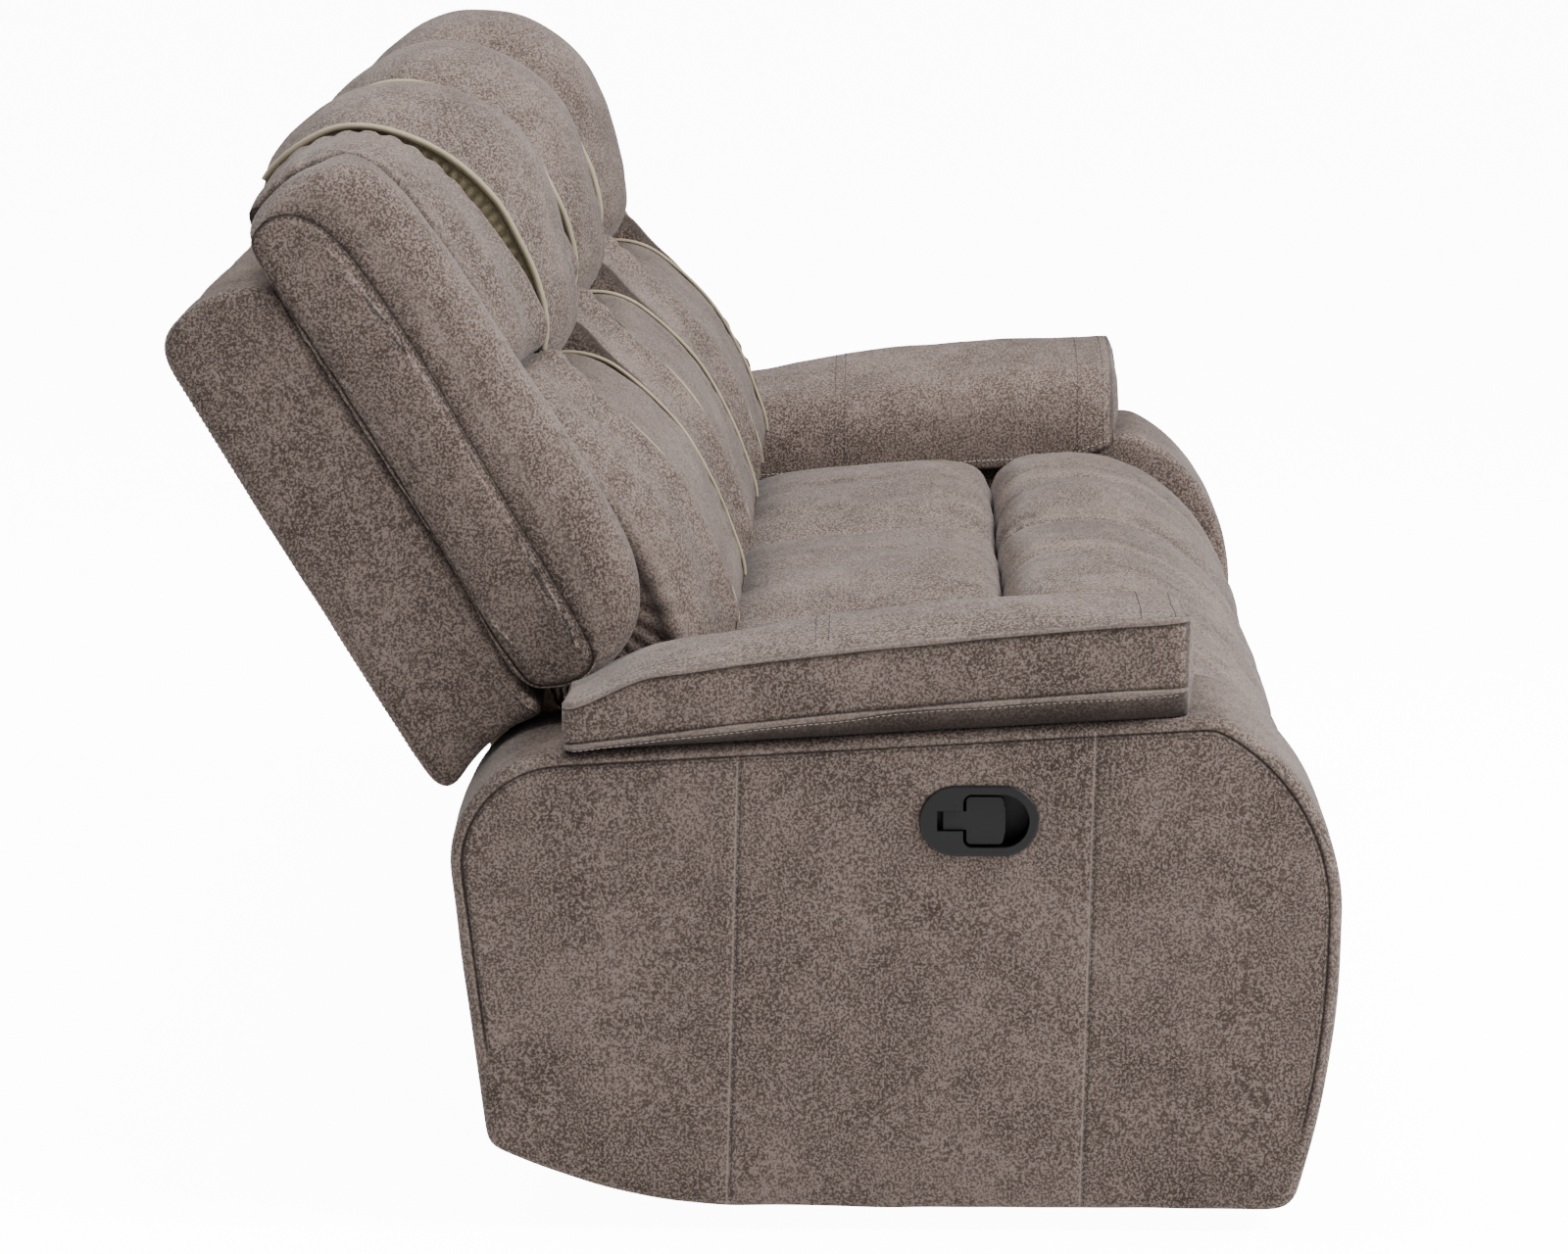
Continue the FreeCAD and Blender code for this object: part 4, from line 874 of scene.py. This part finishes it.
def make_shell(name):
    """Upholstered outer back: one block with soft edges, its foot round about the pivot."""
    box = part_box("back_shell_" + name)
    x0, x1 = box[0].x / MM + 1.5, box[1].x / MM - 1.5
    foot = [(118, -2.0), (106, -0.5), (99, 4)]
    foot += [(math.sqrt(shell_foot_r ** 2 - (n - pivot_depth) ** 2), n) for n in np.linspace(14, 126, 14)]
    line = foot + [(350, 126), (585, 126), (596, 112), (604, 98), (611, 80), (613, 58), (611, 42)]
    turns = np.linspace(0.2, 1.57, 8)
    line += [(610 - shell_top_r * (1 - math.cos(t)), shell_top_r * (1 - math.sin(t))) for t in turns]
    line += [(400, -2.5), (200, -2.0)]
    loop = softened(even(np.array(line + line[:1], float), 200, True), 6)
    turns = np.radians(np.linspace(6, 90, 8))
    drops, runs = shell_edge_r * (1 - np.sin(turns)), shell_edge_r * (1 - np.cos(turns))
    stack = [lay(inset(loop, drop), x0 + run) for drop, run in zip(drops, runs)]
    for share in np.linspace(0, 1, 40)[1:-1]:
        stack.append(lay(loop, x0 + shell_edge_r + share * (x1 - x0 - 2 * shell_edge_r)))
    stack += [lay(inset(loop, drop), x1 - run) for drop, run in zip(drops[::-1], runs[::-1])]
    stack = np.stack(stack)
    flat = np.zeros(stack.shape[:2])
    body = back_body(name)
    obj = pad("shell_cover_" + name, body, "back_shell_" + name, (stack, flat, flat), (0.2, 0.2), 0.7,
              seed=61)
    row = line_between([(604, 100), (604, 40), (570, 0), (400, 0), (120, 0)], (600, 60), (140, 0))
    for at in (x0 + 9, x1 - 9):
        sew(body, obj, lay(row, at))


def make_wing(side):
    """End bolster: a side panel, a seam round it, and a crowned band that rolls in to the back's pads."""
    s, c, i = (spline(o, LOOP) for o in (wing_seam, wing_crown, wing_inner))
    x0, x1 = -(half_seats + 112), -(half_seats + 2)
    band_round = 46.0
    stitch_row, seam_row = 10, 13       # rings just inside and just outside the seam
    stack, dark, highlight_and_wear = [], [], []

    def put(loop, x, crease=0.0, ridge=0.0):
        stack.append(lay(loop, x))
        dark.append(np.full(LOOP, crease))
        highlight_and_wear.append(np.full(LOOP, ridge))

    middle = s.mean(0)
    for share in (0.06, 0.2, 0.35, 0.5, 0.64, 0.76, 0.86):
        put(middle + (s - middle) * share, x0 - 1.0 - 6.0 * (1 - share ** 2))
    # The third column is painted shade along the seam round the side panel.
    for depth, drop, crease in (
        (12, -2.6, 0), (7, -2.0, 0), (4, -1.2, 0.1), (2, -0.2, 0.3), (0.6, 1.2, 0.75), (-0.6, 1.4, 0.7),
        (-2, 0.9, 0.15),
    ):
        put(inset(s, depth), x0 + drop, crease)
    for a in np.linspace(0.06, 1, 16):
        turn = math.radians(90 * a)
        # Painted highlight with rubbed nap along the band's rounded edge.
        edge_highlight_and_wear = 0.22 * math.exp(-((a - 0.2) / 0.06) ** 2)
        put(s + (c - s) * math.sin(turn) ** 0.9, x0 + 0.3 + band_round * (1 - math.cos(turn)), 0, edge_highlight_and_wear)
    start = band_round + 0.3
    for a in np.linspace(0, 1, 18)[1:]:
        x = x0 + start + (x1 - x0 - start) * math.sin(math.pi / 2 * a)
        # Painted shade where the band turns in to the back's pads.
        put(c + (i - c) * a ** 2.2, x, 0.8 * max(a - 0.85, 0) / 0.15)
    inner = i.mean(0)
    # Painted shade on the inner end.
    for share in (0.97, 0.9, 0.7, 0.45, 0.2, 0.06):
        put(inner + (i - inner) * share, x1 + 0.2 * share, 0.5)
    grid = mirrored(np.stack(stack), side)
    word = "right" if side < 0 else "left"
    n = normals_of(grid)
    run = np.arange(LOOP) * 9.0
    near = np.exp(-np.abs(np.arange(len(grid)) - seam_row) / 4.0)[:, None]
    dip = 1.1 * near * np.clip(np.sin(run / 5.0 + 2 * np.sin(run / 60.0)), 0, 1)
    dip = dip * np.clip(np.sin(run / 130.0), 0, 1)
    grid = grid + n * (1.3 * waves(grid, 150.0, 21) + 0.5 * waves(grid, 50.0, 22) - dip)[..., None]
    obj = skin("wing_pad_" + word, grid, {"crease": np.stack(dark), "ridge": np.stack(highlight_and_wear)})
    body = "back_" + word
    finished(obj, body, "wing_" + word)
    free = np.nonzero(s[:, 1] > 134)[0]
    gap = np.argmax(np.diff(free)) + 1 if np.diff(free).max() > 1 else 0
    free = np.roll(free, -gap)
    stitch(body, grid[stitch_row][free], n[stitch_row][free], radius=0.65)


def make_seat(name):
    """Seat cushion, channelled front roll and footrest or front panel of one seat."""
    x = seat_x(name)
    x0, x1 = x - seat_half, x + seat_half
    shape = across(cushion_edge, cushion_crown, cushion_edge, x0, x1, 3.2, 85, False, base=seat_base)
    seed = 31 + SEATS[name]
    pad("seat_pad_" + name, "base", "seat_cushion_" + name, shape, (0, 0), 1.5, seed, 1.6, 3.0)
    channel = [(x, 12.0, 20.0)]
    shape = across(roll_edge, roll_crown, roll_edge, x0, x1, 3.4, 105, False, (24, 24), channel, seat_base)
    pad("roll_pad_" + name, "base", "front_roll_" + name, shape, (0, 0), 1.4, 33 + SEATS[name], 2.4, 3.2)
    body = "base" if name == "centre" else "footrest_" + name
    node = "front_panel" if name == "centre" else "footrest_pad_" + name
    shift = panel_rear_shift if name == "centre" else 0.0
    edge = [(y + shift if y > -470 else y, z) for y, z in foot_edge]
    crown = [(y + shift if y > -470 else y, z) for y, z in foot_crown]
    shape = across(edge, crown, edge, x0 + 6, x1 - 6, 3.4, 105, False, (20, 20), [(x, 9.0, 18.0)],
                   lambda loop: foot_back + shift - loop[:, 0])
    pad("foot_pad_" + name, body, node, shape, (0, 0), 1.2, 35, 2.0, 1.5)


arm_outline = np.concatenate([
    [(20, 20), (-491, 20)],
    arc((-491, 20), (-505, 25), (-511, 40), 6), arc((-511, 40), (-539, 166), (-548, 290)),
    arc((-548, 290), (-517, 413), (-432, 488)), arc((170, 452), (245.7, 420.7), (277, 345)),
    arc((243, 78), (150, 43), (20, 20)),
])
handle_centre = np.array([-212.5, 390.0])
handle_hole = (50.0, 28.0)    # half its length and half its height


def hole_loop(loop, grow=0.0):
    """The handle's round-ended hole, with a point towards each point of the outline."""
    d = loop - handle_centre
    angle = np.arctan2(d[:, 1], d[:, 0])
    straight = handle_hole[0] - handle_hole[1]
    r = handle_hole[1] + grow
    c, s = np.cos(angle), np.sin(angle)
    y = straight * np.tanh(c * 3) + r * c
    z = r * s
    return handle_centre + np.stack([y, z], -1)


def make_arm(side):
    """Padded arm box: one stack of outlines from the handle's pocket, over the outer face to the seam near
    its edge, round both edges and across to the inner face."""
    word = "right" if side < 0 else "left"
    o = softened(even(arm_outline, 400, True), 5)
    x0, x1 = -half_width, -arm_inner
    outer_round, inner_round = 13, 10
    stack, dark, highlight_and_wear, free = [], [], [], []
    sewn = smooth_step((o[:, 1] - 60 - 0.3 * np.clip(o[:, 0], 0, None)) / 60)

    def put(loop, x, crease=0.0, ridge=0.0, loose=1.0):
        place = lay(loop, 0, False)
        place[:, 0] = x
        stack.append(place)
        dark.append(np.zeros(len(loop)) + crease)
        highlight_and_wear.append(np.zeros(len(loop)) + ridge)
        free.append(loose)

    hole = hole_loop(o)
    # Painted shade inside the handle's pocket: the third value of each of these rings.
    for share in (0.1, 0.6, 1.0):
        put(handle_centre + (hole - handle_centre) * share, x0 + 40, 0.8, 0, 0)
    put(hole, x0 + 8, 0.8, 0, 0)
    put(hole_loop(o, 0.6), x0 + 1.2, 0.5, 0, 0)
    for share in np.linspace(0, 1, 38) ** 1.1:
        ring = hole_loop(o, 1.5) + (inset(o, 19) - hole_loop(o, 1.5)) * share
        put(ring, x0 + 0.4 - 2.6 * math.sin(math.pi * share), loose=min(share * 6, 1))
    # Painted shade in the groove round the outer face (crease column), and a painted highlight with rubbed nap on
    # its edge (ridge column).
    for depth, drop, groove, crease, ridge in (
        (16, 0.4, 0.2, 0, 0), (14.2, 0.5, 0.8, 0.2, 0), (13, 0.6, 1.7, 0.85, 0), (12, 0.7, 1.7, 0.85, 0),
        (10.8, 0.9, 0.4, 0.15, 0.1), (9, 1.3, -0.6, 0, 0.15), (7, 2.0, -0.6, 0, 0.1), (5, 3.2, -0.4, 0, 0),
        (3, 5.2, -0.2, 0, 0), (1.4, 8.4, 0, 0, 0), (0.3, 13.0, 0, 0, 0),
    ):
        put(inset(o, depth), x0 + drop + groove * sewn, crease * sewn, ridge * sewn)
    for share in np.linspace(0, 1, 20)[1:-1]:
        flat = x1 - x0 - outer_round - inner_round
        put(inset(o, -1.2 * math.sin(math.pi * share)), x0 + outer_round + flat * share)
    for a in np.linspace(0, 90, 7):
        turn = math.radians(a)
        put(inset(o, inner_round * (1 - math.cos(turn))), x1 - inner_round * (1 - math.sin(turn)))
    centre = np.array([-150.0, 245.0])      # about the middle of the side outline
    for share in (0.97, 0.9, 0.8, 0.65, 0.5, 0.35, 0.2, 0.05):
        put(centre + (inset(o, inner_round) - centre) * share, x1)
    grid = mirrored(np.stack(stack), side)
    n = normals_of(grid)
    lift = 0.9 * waves(grid, 200.0, 41) + 0.35 * waves(grid, 60.0, 42)
    grid = grid + n * (np.array(free)[:, None] * lift)[..., None]
    obj = skin("arm_box_" + word, grid, {"crease": np.stack(dark), "ridge": np.stack(highlight_and_wear)})
    finished(obj, "base", "arm_cover_" + word, ARM)
    start = np.nonzero((sewn > 0.4) & (np.roll(sewn, 1) <= 0.4))[0][0]
    order = np.roll(np.arange(len(o)), -start)[:int(np.sum(sewn > 0.4))]
    face_edge = 43          # the outermost ring of the face, just inside the groove
    stitch("base", grid[face_edge][order], n[face_edge][order])
    for foot, top, high in arm_seams:
        z = np.linspace(24, high, 90)
        y = foot + (top - foot) * (z - seam_foot_z) / (high - seam_foot_z)
        sew("base", obj, np.stack([np.full(90, side * half_width), y - 3.5, z], -1), radius=0.7)


def arm_top(y):
    """Height of the arm box's flat top."""
    return 452 + (170 - y) / 602 * 36


def make_arm_pad(side):
    """Pillow on an arm as cross-sections along Y.

    Each runs from the tucked foot up over the lower welt, the boxing band and the upper welt, across the
    crown, down the inner side to the flap's hem, and back along the arm. Both ends close with soft caps."""
    word = "right" if side < 0 else "left"
    outer, inner, flap = -(half_width + 6), -(half_seats + 1), -(arm_inner - 0.4)
    rear, front = 169.0, -404.0
    long = rear - front
    seamed = 569.0              # length that the end rounding and the cross seams are measured on
    end_round = 16.0
    roll_width, roll_height = 62.0, 58.0
    rows, dark, highlight_and_wear = [], [], []
    close = [0.955, 0.968, 0.978, 0.986, 0.992, 0.996, 1.0]
    place = np.concatenate([[0, 0.004, 0.012, 0.024], np.linspace(0.04, 0.94, 56), close])
    for t in place:
        y = rear - long * t
        base = arm_top(y) + 0.6
        welt = max(457 + 56 * t + 6 * math.sin(math.pi * t), base + 5)
        seam = welt + 57 + 9 * t - 19 * (1 - smooth_step(t * long / 85))
        crown = 20 * max(math.sin(math.pi * t ** 1.25), 0) ** 0.75
        tail = max(1 - (1 - t) * long / 42, 0)
        hem = base - np.interp(t, [0, 0.1, 0.9, 1], [14, 34, 34, 12])
        near_end = min(t, 1 - t) * seamed
        inside = max(end_round - near_end, 0)
        draw = end_round - math.sqrt(end_round ** 2 - inside ** 2)
        left, right = outer + 0.6 * draw, inner - 1.2 * draw
        lower = [(left + 15, base), (left + 11, base + 0.3 * (welt - base)), (left + 7, welt - 5)]
        lower += [(left + 3, welt - 2.6)]
        low_welt = [(left - 0.6, welt - 2), (left - 2.4, welt)]
        low_welt += [(left - 1.2, welt + 2), (left + 1.4, welt + 3)]
        up = np.linspace(0, 1, 14)[1:-1]
        band = [(left + 1.4 - 3.4 * math.sin(math.pi * k), welt + 3 + (seam - welt - 6) * k) for k in up]
        top_welt = [(left + 1.4, seam - 3), (left - 0.8, seam - 1.6), (left - 1.0, seam + 0.6)]
        top_welt += [(left + 1.4, seam + 2.2), (left + 4.4, seam + 1.2)]
        over = []
        for k in np.linspace(0, 1, 26)[1:]:
            x = left + 4.4 + (right - roll_width - left - 4.4) * k
            z = seam + 1.2 + crown * math.sin(math.pi * k ** 0.9) ** 0.9 - 5 * k * k
            z -= 16 * k * (1 - math.sqrt(1 - tail ** 2))
            over.append((x, z))
        zr = over[-1][1]
        turns = np.linspace(0, math.pi / 2, 16)[1:]
        roll = [(right - roll_width * (1 - math.sin(a)), zr - roll_height * (1 - math.cos(a))) for a in turns]
        low = zr - roll_height
        down = np.linspace(0, 1, 9)[1:]
        side_in = [(right + 1.5 * math.sin(math.pi * k), low + (hem + 5 - low) * k) for k in down]
        foot = [(right - 1, hem + 1), (right - 4, hem), (flap + 3.5, hem), (flap, hem + 2)]
        foot += [(flap, base - 10), (flap, base)]
        under = [(flap + (left + 15 - flap) * k, base) for k in np.linspace(0, 1, 8)[1:-1]]
        parts = [lower, low_welt, band, top_welt, over, roll, side_in, foot, under]
        loop = np.array([q for part in parts for q in part])
        soft = np.arange(len(lower + low_welt + band + top_welt) + 2, len(loop) - len(under) - len(foot) - 2)
        for _ in range(14):
            loop[soft] = 0.5 * loop[soft] + 0.25 * (loop[soft - 1] + loop[soft + 1])
        rows.append(np.stack([loop[:, 0], np.full(len(loop), y), loop[:, 1]], -1))
        # Painted shade under the lower welt, in the seams and along the hem; painted highlight with rubbed nap on
        # the welts.
        crease = np.zeros(len(loop))
        crease[:4] = [0.9, 0.85, 0.6, 0.9]
        crease[7] = 0.8
        first = 8 + len(band)
        crease[first] = 0.85
        crease[first + 4] = 0.45
        hem_at = first + 5 + len(over) + len(roll) + len(side_in)
        crease[hem_at:] = 0.8
        ridge = np.zeros(len(loop))
        ridge[[5, 6, first + 1, first + 2]] = 0.45
        # Painted shade along the end seams.
        if near_end < 3:
            crease = np.maximum(crease, 0.6 if t > 0.5 else 0.2)
        dark.append(crease)
        highlight_and_wear.append(ridge)
    grid = np.stack(rows)
    front_cap = end_cap(grid[-1], grid[-2], 8.0)
    cap = len(front_cap)
    grid = np.concatenate([end_cap(grid[0], grid[1], 3.0)[::-1], grid, front_cap])
    grid = mirrored(grid, side)
    n = normals_of(grid)
    loose = np.clip((grid[..., 2] - arm_top(grid[..., 1]) - 4) / 12, 0, 1)
    wrinkle = 1.2 * waves(grid, 110.0, 51) + 0.45 * waves(grid, 40.0, 52)
    grid = grid + n * (loose * wrinkle)[..., None]
    shades = {"crease": dark, "ridge": highlight_and_wear}
    shades = {key: np.pad(np.stack(found), ((cap, cap), (0, 0))) for key, found in shades.items()}
    obj = skin("arm_pillow_" + word, grid, shades)
    finished(obj, "base", "arm_pad_" + word)
    body = "base"
    k0, k1 = cap + 2, cap + len(rows) - 3
    stitch(body, grid[k0:k1, 2], n[k0:k1, 2], kind="pale", radius=0.45)
    stitch(body, grid[k0:k1, first + 7], n[k0:k1, first + 7], radius=0.4)
    stitch(body, grid[k0:k1, hem_at - 2], n[k0:k1, hem_at - 2], kind="pale", radius=0.5)
    for y in (-74, -62):
        at = cap + int(np.argmin(np.abs(place - (rear - y) / seamed)))
        span = slice(first + 6, hem_at - 1)
        line = grid[at, span].copy()
        line[:, 1] = y
        sew(body, obj, line)
    at = cap + int(np.argmin(np.abs(place - (rear + 362) / seamed)))
    sew(body, obj, grid[at, 9:first - 1], radius=0.4)
    span = slice(first + 3, hem_at)
    for k in (len(grid) - cap - 5, len(grid) - cap - 9):
        stitch(body, grid[k, span], n[k, span])


def end_cap(ring, before, bulge):
    """Rings that close an end of a stack along Y, pushed outwards as a soft cap."""
    way = np.sign(ring[0, 1] - before[0, 1])
    middle = ring.mean(0)
    made = []
    for share in (0.96, 0.86, 0.68, 0.45, 0.22, 0.05):
        loop = middle + (ring - middle) * share
        loop[:, 1] = ring[:, 1] + way * bulge * (1 - share ** 3)
        made.append(loop)
    return np.stack(made)


for name in SEATS:
    make_back(name)
    make_seat(name)
    make_shell(name)
for side in (RIGHT, LEFT):
    make_wing(side)
    make_arm(side)
    make_arm_pad(side)
flush_threads({"dark": DARK_THREAD, "pale": PALE_THREAD})


# Camera, floor and light. Floor and sky look white to the camera only; other rays see them plain.

def look(place, pitch, turn, lens):
    """Camera at a place, looking along +X turned towards +Y by turn and down by pitch, in degrees."""
    cam = bpy.data.objects.new("camera", bpy.data.cameras.new("camera"))
    bpy.context.scene.collection.objects.link(cam)
    cam.data.lens = lens
    cam.data.clip_end = 60
    cam.location = place
    cam.rotation_euler = (math.radians(90 - pitch), 0, math.radians(turn - 90))
    bpy.context.scene.camera = cam


def area(name, place, target, size, power):
    """A square soft light at a place, aimed at a target."""
    light = bpy.data.objects.new(name, bpy.data.lights.new(name, "AREA"))
    bpy.context.scene.collection.objects.link(light)
    light.data.size = size
    light.data.energy = power
    light.location = place
    way = np.array(target, float) - np.array(place, float)
    light.rotation_euler = Vector(way).to_track_quat("-Z", "Y").to_euler()


floor_glow = 12.0
sky_light, sky_seen = 0.26, 6.0     # the sky's strength as a light, and as the camera sees it
look((-6.515, -0.1301, 1.4896), 9.6, 1.02, 138.4)
reach = 20000
corners = [(-reach, -reach, 0), (reach, -reach, 0), (reach, reach, 0), (-reach, reach, 0)]
floor = make_mesh("floor", corners, [(0, 1, 2, 3)])
floor_material, floor_tree, floor_shader = new_material("pale_floor")
settle(floor_shader, Base_Color=(0.96, 0.96, 0.96, 1), Roughness=0.9, Emission_Color=(1, 1, 1, 1))
seen = add(floor_tree, "ShaderNodeLightPath").outputs["Is Camera Ray"]
glow = calc(floor_tree, "MULTIPLY", seen, floor_glow)
floor_tree.links.new(glow, floor_shader.inputs["Emission Strength"])
floor.data.materials.append(floor_material)
area("key", (-2.1, -4.6, 4.4), (0, 0, 0.5), 2.4, 1000)
area("fill", (-6.5, -1.0, 2.0), (0, 0, 0.4), 3.0, 20)
area("top", (-0.2, 1.2, 5.2), (0, 0, 0.4), 3.5, 520)
world = bpy.data.worlds.new("world")
world.use_nodes = True
sky = world.node_tree
seen = add(sky, "ShaderNodeLightPath").outputs["Is Camera Ray"]
strength = mixed(sky, seen, sky_light, sky_seen)
sky.links.new(strength, sky.nodes["Background"].inputs["Strength"])
sky.nodes["Background"].inputs["Color"].default_value = (1, 1, 1, 1)
bpy.context.scene.world = world
